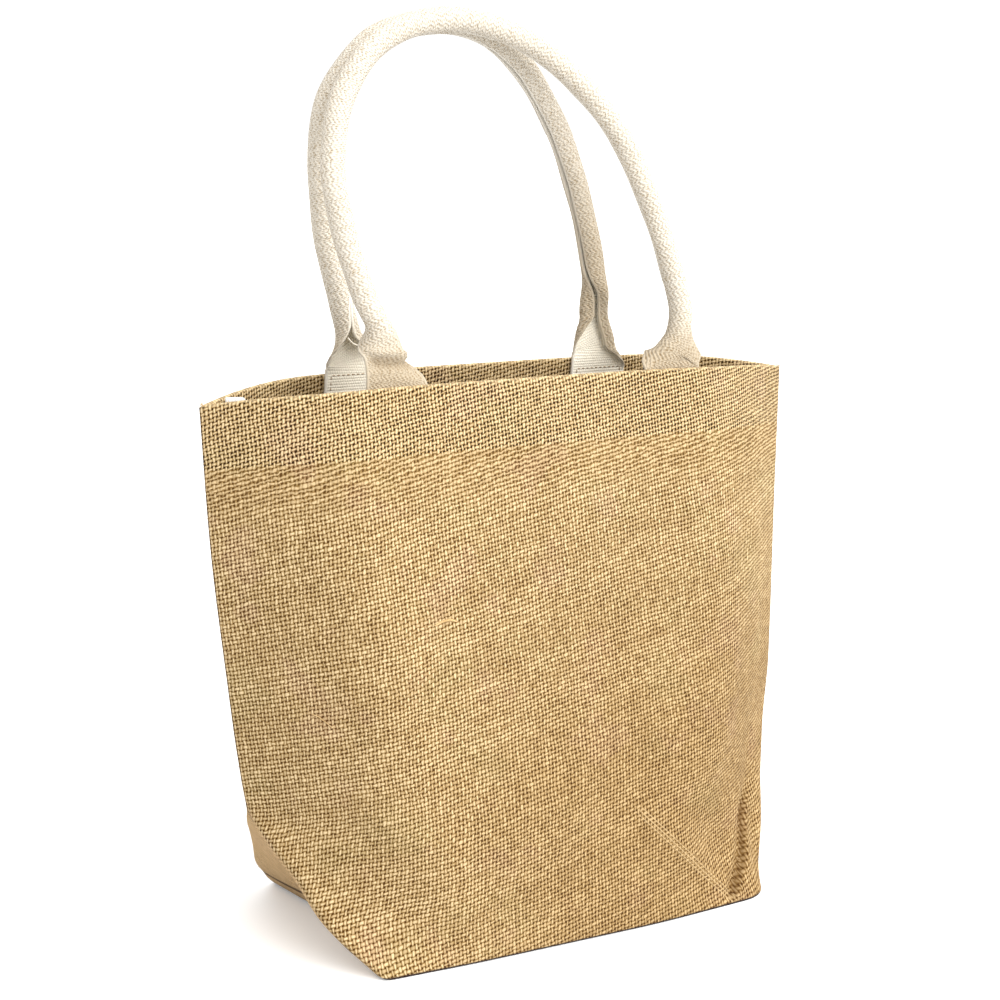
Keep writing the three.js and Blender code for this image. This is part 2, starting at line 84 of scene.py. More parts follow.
def smooth(value: Point, low: float, high: float) -> Array:
    """Rises softly from 0 at the low value to 1 at the high one."""
    t = np.clip((value - low) / (high - low), 0, 1)
    return t * t * (3 - 2 * t)


def curve(t: Point, start: Point, end: Point, leaving: Point, arriving: Point) -> Point:
    """Reads a smooth curve at a share t of its way, from its two ends and its slopes there."""
    bend = t**2 * (3 * (end - start) - 2 * leaving - arriving)
    return start + t * leaving + bend + t**3 * (2 * (start - end) + leaving + arriving)


@dataclass(frozen=True)
class Table:
    """Sizes in millimetres at rising heights, with a smooth curve through them.

    Attributes:
        columns: What each number of a row is; the first is the height.
        rows: The sizes, from the lowest row to the highest.
    """

    columns: tuple[str, ...]
    rows: tuple[tuple[float, ...], ...]

    def slope(self, index: int) -> Array:
        """Gives each column's change for a millimetre of height at a row."""
        near = np.array(self.rows[max(index - 1, 0) : index + 2], float)
        return (near[-1] - near[0]) / (near[-1][0] - near[0][0])

    def at(self, z: float) -> dict[str, float]:
        """Reads the row at a height.

        Args:
            z: The height in millimetres.

        Returns:
            Each column's value by its name.
        """
        index = 0
        while index < len(self.rows) - 2 and z > self.rows[index + 1][0]:
            index += 1
        start, end = np.array(self.rows[index]), np.array(self.rows[index + 1])
        span = end[0] - start[0]
        share = min(max((z - start[0]) / span, 0.0), 1.0)
        leaving, arriving = self.slope(index) * span, self.slope(index + 1) * span
        return dict(zip(self.columns, curve(share, start, end, leaving, arriving), strict=True))


@dataclass(frozen=True)
class Fold:
    """A soft trough or ridge in a panel, in millimetres.

    Attributes:
        along: Where its middle is across the cloth, from the panel's middle.
        z: The height of its middle.
        half_length: How far it reaches each way.
        half_width: How far it spreads sideways.
        turn: Its angle from level, in degrees.
        depth: How far it stands out; below zero it is a trough.
    """

    along: float
    z: float
    half_length: float
    half_width: float
    turn: float
    depth: float

    def push(self, along: Array, z: float) -> Array:
        """Gives how far the fold moves the cloth out.

        Args:
            along: Places across the cloth.
            z: Their height.

        Returns:
            The push at each place.
        """
        c, s = math.cos(math.radians(self.turn)), math.sin(math.radians(self.turn))
        dx, dz = along - self.along, z - self.z
        lengthwise = (dx * c + dz * s) / self.half_length
        across = (dz * c - dx * s) / self.half_width
        return self.depth * np.exp(-(lengthwise**2) - across**2)


@dataclass(frozen=True)
class Wave:
    """A shallow wave of slack cloth, in millimetres.

    Attributes:
        height: How far it stands out.
        across: Its length across the cloth for one radian.
        up: Its length up the cloth; with unlike signs the wave leans the other way.
        start: Where it starts, in radians.
        shifted: How much a shift moves it.
    """

    height: float
    across: float
    up: float
    start: float
    shifted: float

    def push(self, along: Array, up: float, shift: Array) -> Array:
        """Gives how far the wave moves the cloth out at places across and a height up."""
        turn = along / self.across + up / self.up + self.start + self.shifted * shift
        return self.height * np.sin(turn)


@dataclass(frozen=True)
class Pleat:
    """A narrow curved trough with a steep far side and a ridge beyond it, in millimetres.

    Attributes:
        path: Its lowest line, as rows of height and place across the cloth, going up.
        near: How far its gentle near side reaches.
        far: How far its steep far side reaches.
        depth: How far its lowest line is pushed in.
        ridge: How far the ridge stands out.
        ends: The heights where it starts, is full, fades and ends.
        ridge_spread: How far the ridge reaches, against the far side.
    """

    path: tuple[Span, ...]
    near: float
    far: float
    depth: float
    ridge: float
    ends: tuple[float, float, float, float]
    ridge_spread: float = 1.6

    def past_line(self, along: Array, z: float) -> tuple[Array, float]:
        """Measures places from the pleat's lowest line.

        Args:
            along: Places across the cloth.
            z: Their height.

        Returns:
            How far past the line they are, and how full the pleat is at that height.
        """
        heights, places = zip(*self.path, strict=True)
        low, full, fading, gone = self.ends
        share = float(smooth(z, low, full) * (1 - smooth(z, fading, gone)))
        return along - float(np.interp(z, heights, places)), share

    def push(self, along: Array, z: float) -> Array:
        """Gives how far the pleat moves the cloth out.

        Args:
            along: Places across the cloth.
            z: Their height.

        Returns:
            The push at each place.
        """
        off, share = self.past_line(along, z)
        trough = np.where(off < 0, np.exp(-((off / self.near) ** 2)), 1 - smooth(off, 0, self.far))
        beyond = np.maximum(off - self.far, 0) / (self.ridge_spread * self.far)
        ridge = smooth(off, 0, self.far) * np.exp(-(beyond**2))
        return share * (ridge * self.ridge - trough * self.depth)

    def shadow(self, along: Array, z: float) -> Array:
        """Gives how deep in the trough places are, from 0 to 1, for the painted shade in it."""
        off, share = self.past_line(along, z)
        return share * np.exp(-(((off - 0.35 * self.far) / (0.5 * self.far)) ** 2))


QUARTER = ("z", "knee_x", "edge_x", "edge_y", "soft", "bow")

MIDDLE = Table(
    ("z", "x", "front_y", "back_y"),
    (
        (0, 1.5, -83.5, 83.5),
        (25, 2.5, -80.5, 81),
        (50, 3.5, -76.8, 78),
        (84, 5, -71.5, 73.5),
        (115, 6.5, -66.5, 69),
        (160, 6.5, -59.5, 62.5),
        (240, 3, -46.5, 50.5),
        (BAG_HEIGHT, 0, -32.5, 37),
    ),
)
SEAM_LEFT = Table(
    ("z", "x", "y"),
    (
        (0, -108, 5),
        (25, -129, 4),
        (50, -149, 2.5),
        (70, -162.5, 1),
        (84, -169.5, 0),
        (115, -175, 0),
        (160, -180.5, 0),
        (240, -189, 0),
        (BAG_HEIGHT, -194.3, 0),
    ),
)
SEAM_RIGHT = Table(
    ("z", "x", "y"),
    (
        (0, 145, -11),
        (25, 157, -8),
        (50, 169, -5),
        (84, 184, -1),
        (105, 191.5, 0),
        (130, 194, 0),
        (240, 194, 0),
        (BAG_HEIGHT, 194.3, 0),
    ),
)
FRONT_LEFT = Table(
    QUARTER,
    (
        (0, -62, -121.5, -81.5, 6, 0),
        (25, -74, -144, -56, 7, 0.6),
        (50, -86, -155.5, -34, 8, 1.4),
        (70, -95, -166, -15, 7, 2.2),
        (84, -100, -169.5, -3.5, 3, 2.8),
        (115, -106, -173.5, -2.5, 2, 3),
        (160, -111, -179, -2.5, 2, 3),
        (240, -119, -187, -2.5, 2, 3),
        (BAG_HEIGHT, -125, -191.5, -2.5, 2, 2.8),
    ),
)
FRONT_RIGHT = Table(
    QUARTER,
    (
        (0, 62, 149, -77, 24, 0),
        (25, 74, 159, -55, 12, 0),
        (50, 88, 169, -36, 9, 0.6),
        (84, 104, 183, -14, 7, 1.8),
        (105, 111, 190.5, -3.5, 3, 2.4),
        (130, 116, 192.5, -2.5, 2, 3),
        (240, 123, 192, -2.5, 2, 3),
        (BAG_HEIGHT, 125, 191.5, -2.5, 2, 2.8),
    ),
)
BACK_LEFT = Table(
    QUARTER,
    (
        (0, -62, -122, 85.5, 6, 0),
        (25, -74, -144, 60, 7, 0.6),
        (50, -86, -155.5, 36, 8, 1.4),
        (70, -95, -166, 16, 7, 2.2),
        (84, -100, -169.5, 3.5, 3, 2.8),
        (115, -106, -173.5, 2.5, 2, 3),
        (160, -111, -179, 2.5, 2, 3),
        (240, -119, -187, 2.5, 2, 3),
        (BAG_HEIGHT, -126, -191.5, 2.5, 2, 2.8),
    ),
)
BACK_RIGHT = Table(
    QUARTER,
    (
        (0, 60, 123, 77, 7, 0),
        (25, 74, 145, 56, 9, 0.4),
        (50, 88, 161, 36, 9, 1),
        (84, 104, 181, 12, 7, 2),
        (105, 111, 190.5, 3.5, 3, 2.6),
        (130, 116, 192.5, 2.5, 2, 3),
        (240, 123, 192, 2.5, 2, 3),
        (BAG_HEIGHT, 126, 191.5, 2.5, 2, 2.8),
    ),
)
FRONT_FOLDS = (
    Fold(148, 38, 38, 9, 81, -4.5),
    Fold(92, 31, 42, 8, -45, 2.2),
    Fold(106, 46, 44, 18, -42, -2.6),
    Fold(10, 96, 44, 12, 62, 1.6),
    Fold(-40, 70, 60, 26, 14, 2.2),
    Fold(-95, 108, 60, 34, 70, -2.6),
    Fold(60, 170, 90, 38, -35, -1.8),
    Fold(-60, 210, 80, 30, 28, 1.4),
    Fold(86, 33, 40, 3.0, -44, 0.9),
    Fold(-18, 104, 26, 5.0, 52, 0.8),
    Fold(-108, 80, 34, 6.0, -22, 0.9),
)
FRONT_PLEAT = Pleat(
    path=((0, 111), (6, 113), (12, 119), (18, 127), (26, 133), (36, 138.5), (48, 145), (62, 150)),
    near=5.6,
    far=5.0,
    depth=3.2,
    ridge=2.6,
    ends=(1.0, 7.0, 46.0, 64.0),
)
BACK_FOLDS = (
    Fold(-104, 34, 44, 9, 46, 2.4),
    Fold(-96, 58, 46, 20, 42, -3),
    Fold(120, 36, 44, 10, -52, -3),
    Fold(30, 110, 90, 34, 20, 2),
    Fold(-50, 200, 90, 36, -30, -2),
    Fold(-98, 40, 34, 4.0, 46, 0.8),
    Fold(60, 60, 40, 6.0, 12, 0.8),
)
SLACK = (
    Wave(0.32, 23, 31, 0.0, 1),
    Wave(0.26, 13.5, -17, 1.3, 1),
    Wave(0.20, 7.7, 9.1, 0.4, 1),
    Wave(0.16, 5.3, -12.7, 2.2, -1),
)
BACK_SHIFT = 2.1
DENTS = (Wave(0.22, 5, 11, 0.0, 1), Wave(0.16, -3.7, 6.3, 0.0, 2))


# Meshes.


def new_object(
    name: str, points: Array, faces: Sequence[Sequence[int]], uvs: Array | None = None
) -> Piece:
    """Makes an object whose place is in its mesh.

    Args:
        name: The piece's name.
        points: Its points in millimetres.
        faces: Its faces, seen from outside counter-clockwise.
        uvs: A place on the cloth for each point, in millimetres, or None.

    Returns:
        The object, linked to the scene.
    """
    mesh = bpy.data.meshes.new(name)
    mesh.from_pydata((np.asarray(points) * MM).tolist(), [], [list(face) for face in faces])
    if uvs is not None:
        layer = mesh.uv_layers.new(name="cloth")
        corners = np.zeros(len(mesh.loops), np.int32)
        mesh.loops.foreach_get("vertex_index", corners)
        layer.data.foreach_set("uv", np.asarray(uvs, np.float32)[corners].ravel())
    mesh.validate()
    mesh.shade_smooth()
    made = bpy.data.objects.new(name, mesh)
    bpy.context.scene.collection.objects.link(made)
    return made


def point_attribute(piece: Piece, name: str, values: Sequence[float]) -> None:
    """Stores a number for each point of a piece, by the name that its material reads."""
    layer = piece.data.attributes.new(name, "FLOAT", "POINT")
    layer.data.foreach_set("value", np.asarray(values, np.float32))


def bridge(lower: Sequence[int], upper: Sequence[int]) -> list[Face]:
    """Joins two closed rings of points with a wall of faces."""
    after = (*range(1, len(lower)), 0)
    return [(lower[i], lower[n], upper[n], upper[i]) for i, n in enumerate(after)]


def walls(rings: Sequence[Sequence[int]]) -> list[Face]:
    """Joins closed rings of points, each with the next one."""
    pairs = zip(rings, rings[1:], strict=False)
    return [face for lower, upper in pairs for face in bridge(lower, upper)]


def distance(first: Array, second: Array) -> float:
    """Gives the distance between two points."""
    return float(np.linalg.norm(first - second))


def unit(ways: Array) -> Array:
    """Gives one direction, or rows of them, with a length of 1."""
    return ways / np.linalg.norm(ways, axis=-1, keepdims=True)


def edge_normal(start: Array, end: Array) -> Array:
    """Gives the level direction to the left of a line."""
    return np.array([start[1] - end[1], end[0] - start[0]]) / max(distance(start, end), 1e-12)


def towards(start: Array, end: Array, reach: float) -> Array:
    """Gives the point at a reach from one point on the way to another."""
    return start + (end - start) * (reach / distance(start, end))


def soft_bend(start: Array, bend: Array, end: Array) -> Array:
    """Rounds a bend between two points, and gives its points without the first."""
    t = np.linspace(0, 1, 25)[1:, None]
    return (1 - t) ** 2 * start + 2 * t * (1 - t) * bend + t * t * end


def lengths(path: Array) -> Array:
    """Gives the length from a path's start to each of its points."""
    return np.concatenate([[0], np.cumsum(np.linalg.norm(np.diff(path, axis=0), axis=1))])


def read_rows(at: Array, places: Array, rows: Array) -> Array:
    """Reads rows of numbers between the places where they stand."""
    return np.stack([np.interp(at, places, column) for column in rows.T], 1)


def resample(points: Array, shares: Array) -> tuple[Array, float]:
    """Puts points at shares of a path's length, and gives that length too."""
    run = lengths(points)
    return read_rows(shares * run[-1], run, points), float(run[-1])


@dataclass(frozen=True)
class Ring:
    """One closed section of the bag, counter-clockwise seen from above, in millimetres.

    Attributes:
        points: Its points.
        along: Their places across the cloth, from each panel's middle.
        on_back: Which of them are on the back panel.
        past_crease: Which of them are on the short sides.
        pressed: How deep in the front's narrow trough they are, for the painted shade in it.
    """

    points: Array
    along: Array
    on_back: Array
    past_crease: Array
    pressed: Array


@dataclass
class Body:
    """The jute body: front, base and back in one length of cloth, with its hem turned in.

    Attributes:
        panel_columns: Columns of the mesh from a panel's middle to the crease.
        side_columns: Columns from the crease to the side seam.
        row_step: Height of a row in millimetres.
        crowding: How much closer the columns are near the crease.
        floor_bend: Heights near the floor, and how far in the outer face is there.
        hem_rows: Rows of the outer face close to the hem's edge, measured from it.
        hem_step: The same of the inner face, and how far each lies inside one thickness.
        inner_bend: Heights near the base inside, and how far in each lies.
        folds_from: The height at which the folds are full.
        folds_to: How far under the rim the folds start to fade.
        seam_hold: How closely the side seams hold the folds; more is closer.
        seam_drop: How far the rim sinks at the side seams.
        drop_curve: How close to the seams it does so; more is closer.
        flat: The cut's width and length in metres; not used.
    """

    panel_columns: int = 46
    side_columns: int = 14
    row_step: float = 2.9
    crowding: float = 1.4
    floor_bend: tuple[Span, ...] = ((0.0, 2.6), (0.28, 1.5), (0.8, 0.75), (1.6, 0.22), (2.6, 0.0))
    hem_rows: tuple[float, ...] = (-0.6, 0.0, 0.8)
    hem_step: tuple[Span, ...] = ((1.2, 1.8), (0.2, 1.4), (0.0, 0.2), (-0.6, 0.0))
    inner_bend: tuple[Span, ...] = ((3.0, 0.2), (2.2, 0.7))
    folds_from: float = 16.0
    folds_to: float = 90.0
    seam_hold: int = 12
    seam_drop: float = 8.6
    drop_curve: float = 3.8
    flat: Span = (0.42, 0.91)

    def steering(self, z: float) -> tuple[list[Array], dict[int, float]]:
        """Gives the points that steer a section, from the middle of the front.

        Args:
            z: The height in millimetres.

        Returns:
            The points, and how soft the bend at each crease is by its index.
        """
        middle, left, right = MIDDLE.at(z), SEAM_LEFT.at(z), SEAM_RIGHT.at(z)
        softs: dict[int, float] = {}

        def quarter(table: Table, panel_y: float, index: int) -> list[Array]:
            """Gives a quarter's points.

            Args:
                table: Its sizes.
                panel_y: The panel's place.
                index: The edge's index.

            Returns:
                Its knee, bow and edge.
            """
            row = table.at(z)
            knee = np.array([row["knee_x"], panel_y])
            edge = np.array([row["edge_x"], row["edge_y"]])
            step = edge - knee
            side = np.sign(knee[0] * edge[1] - knee[1] * edge[0])
            out = side * row["bow"] * unit(np.array([step[1], -step[0]]))
            softs[index] = row["soft"]
            return [knee, (knee + edge) / 2 + out, edge]

        points = [
            np.array([middle["x"], middle["front_y"]]),
            *quarter(FRONT_RIGHT, middle["front_y"], 3),
            np.array([right["x"], right["y"]]),
            *quarter(BACK_RIGHT, middle["back_y"], 5)[::-1],
            np.array([middle["x"], middle["back_y"]]),
            *quarter(BACK_LEFT, middle["back_y"], 11),
            np.array([left["x"], left["y"]]),
            *quarter(FRONT_LEFT, middle["front_y"], 13)[::-1],
        ]
        return points, softs

    def inset(self, points: list[Array], thickness: float) -> list[Array]:
        """Moves a section's steering points inwards, mitred at every turn.

        Args:
            points: The steering points.
            thickness: How far in.

        Returns:
            The moved points.
        """
        moved = []
        for i, point in enumerate(points):
            before = edge_normal(points[i - 1], point)
            after = edge_normal(point, points[(i + 1) % len(points)])
            moved.append(point + (before + after) * (thickness / (1 + before @ after)))
        return moved

    def quarter(self, steering: list[Array], softness: float) -> tuple[Array, Array]:
        """Lays points on a quarter of a section, closer together at the crease.

        Args:
            steering: The quarter's middle, knee, bow, edge and seam.
            softness: How far the crease's bend reaches.

        Returns:
            The points, and each one's share of the way to the seam.
        """
        middle, knee, bow, edge, seam = steering
        soft = min(softness, 0.8 * distance(edge, seam), 0.5 * distance(bow, edge))
        bow_reach = min(distance(bow, edge) - soft, 0.5 * distance(knee, bow))
        knee_reach = min(distance(knee, bow) - bow_reach, 0.9 * distance(knee, middle))
        start, end = towards(edge, bow, soft), towards(edge, seam, soft)
        top = (start + end) / 4 + edge / 2
        panel = [middle[None]]
        for bend, a, b, reach in ((knee, middle, bow, knee_reach), (bow, knee, edge, bow_reach)):
            first, last = towards(bend, a, reach), towards(bend, b, reach)
            panel += [first[None], soft_bend(first, bend, last)]
        panel += [start[None], soft_bend(start, (start + edge) / 2, top)]
        side = [top[None], soft_bend(top, (end + edge) / 2, end), seam[None]]
        even = np.arange(self.panel_columns + 1) / self.panel_columns
        shares = 1 - (1 - even) ** self.crowding
        panel_points, panel_length = resample(np.concatenate(panel), shares)
        rest = np.arange(1, self.side_columns + 1) / self.side_columns
        eased = (rest + rest * rest) / 2
        side_points, side_length = resample(np.concatenate(side), eased)
        run = np.concatenate([shares * panel_length, panel_length + eased * side_length])
        return np.concatenate([panel_points, side_points]), run / (panel_length + side_length)

    def loop(self, points: list[Array], softs: dict[int, float]) -> tuple[Array, Array]:
        """Joins the four quarters of a section.

        Args:
            points: All steering points.
            softs: The creases' softness.

        Returns:
            The points, and their shares of the way to the seam.
        """
        right = self.quarter([points[i] for i in (0, 1, 2, 3, 4)], softs[3])
        back_right = self.quarter([points[i] for i in (8, 7, 6, 5, 4)], softs[5])
        back_left = self.quarter([points[i] for i in (8, 9, 10, 11, 12)], softs[11])
        left = self.quarter([points[i] for i in (0, 15, 14, 13, 12)], softs[13])
        return tuple(
            np.concatenate([a, b[::-1][1:], c[1:], d[::-1][1:-1]])
            for a, b, c, d in zip(right, back_right, back_left, left, strict=True)
        )

    def ring(self, z: float, thickness: float, lift: float = 0.0) -> Ring:
        """Makes a closed section.

        Args:
            z: The height in millimetres.
            thickness: How far inside the outer face it lies.
            lift: How far it is raised.

        Returns:
            The section.
        """
        steering, softs = self.steering(z)
        outer, share = self.loop(steering, softs)
        quarter = self.panel_columns + self.side_columns
        index = np.arange(len(share))
        on_back = (index > quarter) & (index <= 3 * quarter)
        past_seam = (index + quarter) % (2 * quarter)
        past_crease = np.minimum(past_seam, 2 * quarter - past_seam) < self.side_columns
        along = np.where(index <= 2 * quarter, 1.0, -1.0) * share * PANEL_HALF_WIDTH
        shift = np.where(on_back, BACK_SHIFT, 0.0)
        depth = sum(wave.push(along, z, shift) for wave in SLACK)
        for folds, where in ((FRONT_FOLDS, ~on_back), (BACK_FOLDS, on_back)):
            for fold in folds:
                depth = depth + np.where(where, fold.push(along, z), 0.0)
        fading, gone = BAG_HEIGHT - self.folds_to, BAG_HEIGHT - HEM_DEPTH
        full = smooth(z, 0, self.folds_from) * (1 - smooth(z, fading, gone))
        free = 1 - share**self.seam_hold
        depth = depth * free * full
        depth = depth + np.where(on_back, 0.0, FRONT_PLEAT.push(along, z) * free)
        moved, _ = self.loop(self.inset(steering, thickness), softs)
        step = np.roll(outer, -1, 0) - np.roll(outer, 1, 0)
        inwards = unit(np.stack([-step[:, 1], step[:, 0]], 1))
        drop = self.seam_drop * share**self.drop_curve * (z / BAG_HEIGHT) ** 2
        level = moved - inwards * depth[:, None]
        # How deep in the front's narrow trough each point is, for its painted shade.
        pressed = np.where(on_back, 0.0, FRONT_PLEAT.shadow(along, z))
        return Ring(np.column_stack([level, z - drop + lift]), along, on_back, past_crease, pressed)

    def heights(self, low: float, high: float) -> list[float]:
        """Lists evenly spaced heights between two, without those two."""
        count = max(round((high - low) / self.row_step), 2)
        return [float(z) for z in np.linspace(low, high, count + 1)[1:-1]]

    def levels(self) -> list[tuple[float, float, float]]:
        """Lists the sections from the floor, over the rim and down to the base inside.

        Returns:
            Each section's height, depth inside the outer face, and lift.
        """
        hem, rim = BAG_HEIGHT - HEM_DEPTH, BAG_HEIGHT - FOLD_RADIUS
        outer = list(self.floor_bend)
        plain = self.heights(outer[-1][0], hem)
        plain += [hem + step for step in self.hem_rows]
        plain += self.heights(hem + self.hem_rows[-1], rim)
        outer += [(z, 0.0) for z in plain]
        for turn in np.linspace(0, math.pi, 9):
            reach = HEM_THICKNESS / 2 * (1 - math.cos(turn))
            outer.append((BAG_HEIGHT - FOLD_RADIUS * (1 - math.sin(turn)), reach))
        steps = [(hem + step, CLOTH_THICKNESS + depth) for step, depth in self.hem_step]
        bends = [(z, CLOTH_THICKNESS + depth) for z, depth in self.inner_bend]
        inner = [(z, HEM_THICKNESS) for z in reversed(self.heights(steps[0][0], rim))]
        inner += steps
        inner += [(z, CLOTH_THICKNESS) for z in reversed(self.heights(bends[0][0], steps[-1][0]))]
        inner += bends
        base = (0.0, CLOTH_THICKNESS + 2.0, CLOTH_THICKNESS)
        return [*((z, depth, 0.0) for z, depth in outer + inner), base]

    def fill_base(
        self, points: list[Array], uvs: list[Array], ring: list[int], looks_down: bool
    ) -> list[Face]:
        """Fills a ring with the flat base.

        Args:
            points: All points so far, which grow.
            uvs: Their places on the cloth, which grow.
            ring: The ring's indices, from the middle of the front.
            looks_down: Whether the base looks down.

        Returns:
            The base's faces.
        """
        panel, across, deep = self.panel_columns, 2 * self.panel_columns, 2 * self.side_columns
        far = panel + deep

        def at(index: int) -> int:
            """Gives a point's index, counted round the ring."""
            return ring[index % len(ring)]

        grid: list[list[int]] = []
        for j in range(deep + 1):
            row = []
            for i in range(across + 1):
                edges = (at(i - panel), at(far + across - i), at(-panel - j), at(panel + j))
                on_edge = (j == 0, j == deep, i == 0, i == across)
                if any(on_edge):
                    row.append(edges[on_edge.index(True)])
                    continue
                s, t = i / across, j / deep
                corners = (at(-panel), at(panel), at(far + across), at(far))
                weights = (-(1 - s) * (1 - t), -s * (1 - t), -(1 - s) * t, -s * t)
                steered = zip((1 - t, t, 1 - s, s, *weights), (*edges, *corners), strict=True)
                blended = sum(weight * points[k] for weight, k in steered)
                row.append(len(points))
                points.append(blended)
                uvs.append(np.array([blended[0], -blended[1] - BASE_FRONT]))
            grid.append(row)
        faces = []
        for j in range(deep):
            for i in range(across):
                face = (grid[j][i], grid[j][i + 1], grid[j + 1][i + 1], grid[j + 1][i])
                faces.append(face[::-1] if looks_down else face)
        return faces

    def build(self) -> Piece:
        """Builds the body as one closed sheet.

        Returns:
            The body's object, with its cloth places and short sides marked, and the narrow trough
            marked for its painted shade.
        """
        points: list[Array] = []
        uvs: list[Array] = []
        sides: list[float] = []
        pressed: list[float] = []
        rings: list[list[int]] = []
        for z, thickness, lift in self.levels():
            ring = self.ring(z, thickness, lift)
            rings.append(list(range(len(points), len(points) + len(ring.points))))
            points += list(ring.points)
            uvs += [np.array([a, z]) for a in ring.along]
            sides += [float(past) for past in ring.past_crease]
            pressed += [float(share) for share in ring.pressed]
        faces = walls(rings)
        faces += self.fill_base(points, uvs, rings[0], True)
        faces += self.fill_base(points, uvs, rings[-1], False)
        piece = new_object("jute_body", np.array(points), faces, np.array(uvs))
        base_only = [0.0] * (len(points) - len(sides))
        point_attribute(piece, "short_side", sides + base_only)
        point_attribute(piece, "pressed", pressed + base_only)
        return piece

    def face_y(self, side: int, x: float, z: float) -> float:
        """Finds the hem's inner face.

        Args:
            side: -1 for the front and 1 for the back.
            x: The place along the mouth.
            z: The height.

        Returns:
            The face's place from front to back.
        """
        points = self.ring(z, HEM_THICKNESS).points
        chosen = points[np.sign(points[:, 1]) == side]
        chosen = chosen[np.argsort(chosen[:, 0])]
        return float(np.interp(x, chosen[:, 0], chosen[:, 1]))


BODY = Body()


# Handles.


class Side(Enum):
    """Which panel a handle is sewn to."""

    FRONT = -1
    BACK = 1


@dataclass(frozen=True)
class Foot:
    """Where a handle's foot is sewn on, and how its edges close up above the rim, in millimetres.

    Attributes:
        x: The foot's middle on the rim.
        left: The heights above the rim where the left edge starts and ends to curl.
        right: The same for the right edge.
        creased: Whether the edges are folded flat instead of rolled.
        sewing_top: Height of the top row of stitches, from the rim.
        pressed_at: Height above the rim where the tube is pressed flat with a ridge, or 0.
        shaded_to: Height above the rim up to which the webbing's outer face gets painted shade.
    """

    x: float
    left: Span
    right: Span
    creased: bool
    sewing_top: float
    pressed_at: float = 0.0
    shaded_to: float = 42.0


@dataclass(frozen=True)
class Bend:
    """How one half of the webbing bends: flat from its middle, and then round with a radius."""

    flat: float
    radius: float

    def at(self, distance: float) -> tuple[float, float, float]:
        """Gives the webbing's place at a distance from its middle.

        Args:
            distance: The distance along the webbing.

        Returns:
            The way out, the height, and the angle turned.
        """
        turned = min(max((distance - self.flat) / self.radius, 0.0), math.pi)
        flap = max(distance - self.flat - math.pi * self.radius, 0.0)
        out = min(distance, self.flat) + self.radius * math.sin(turned) - flap
        return out, self.radius * (1 - math.cos(turned)), turned


@dataclass(frozen=True)
class Station:
    """The middle of a handle's tube, its direction there, and the length from its first end."""

    center: Array
    tangent: Array
    run: float


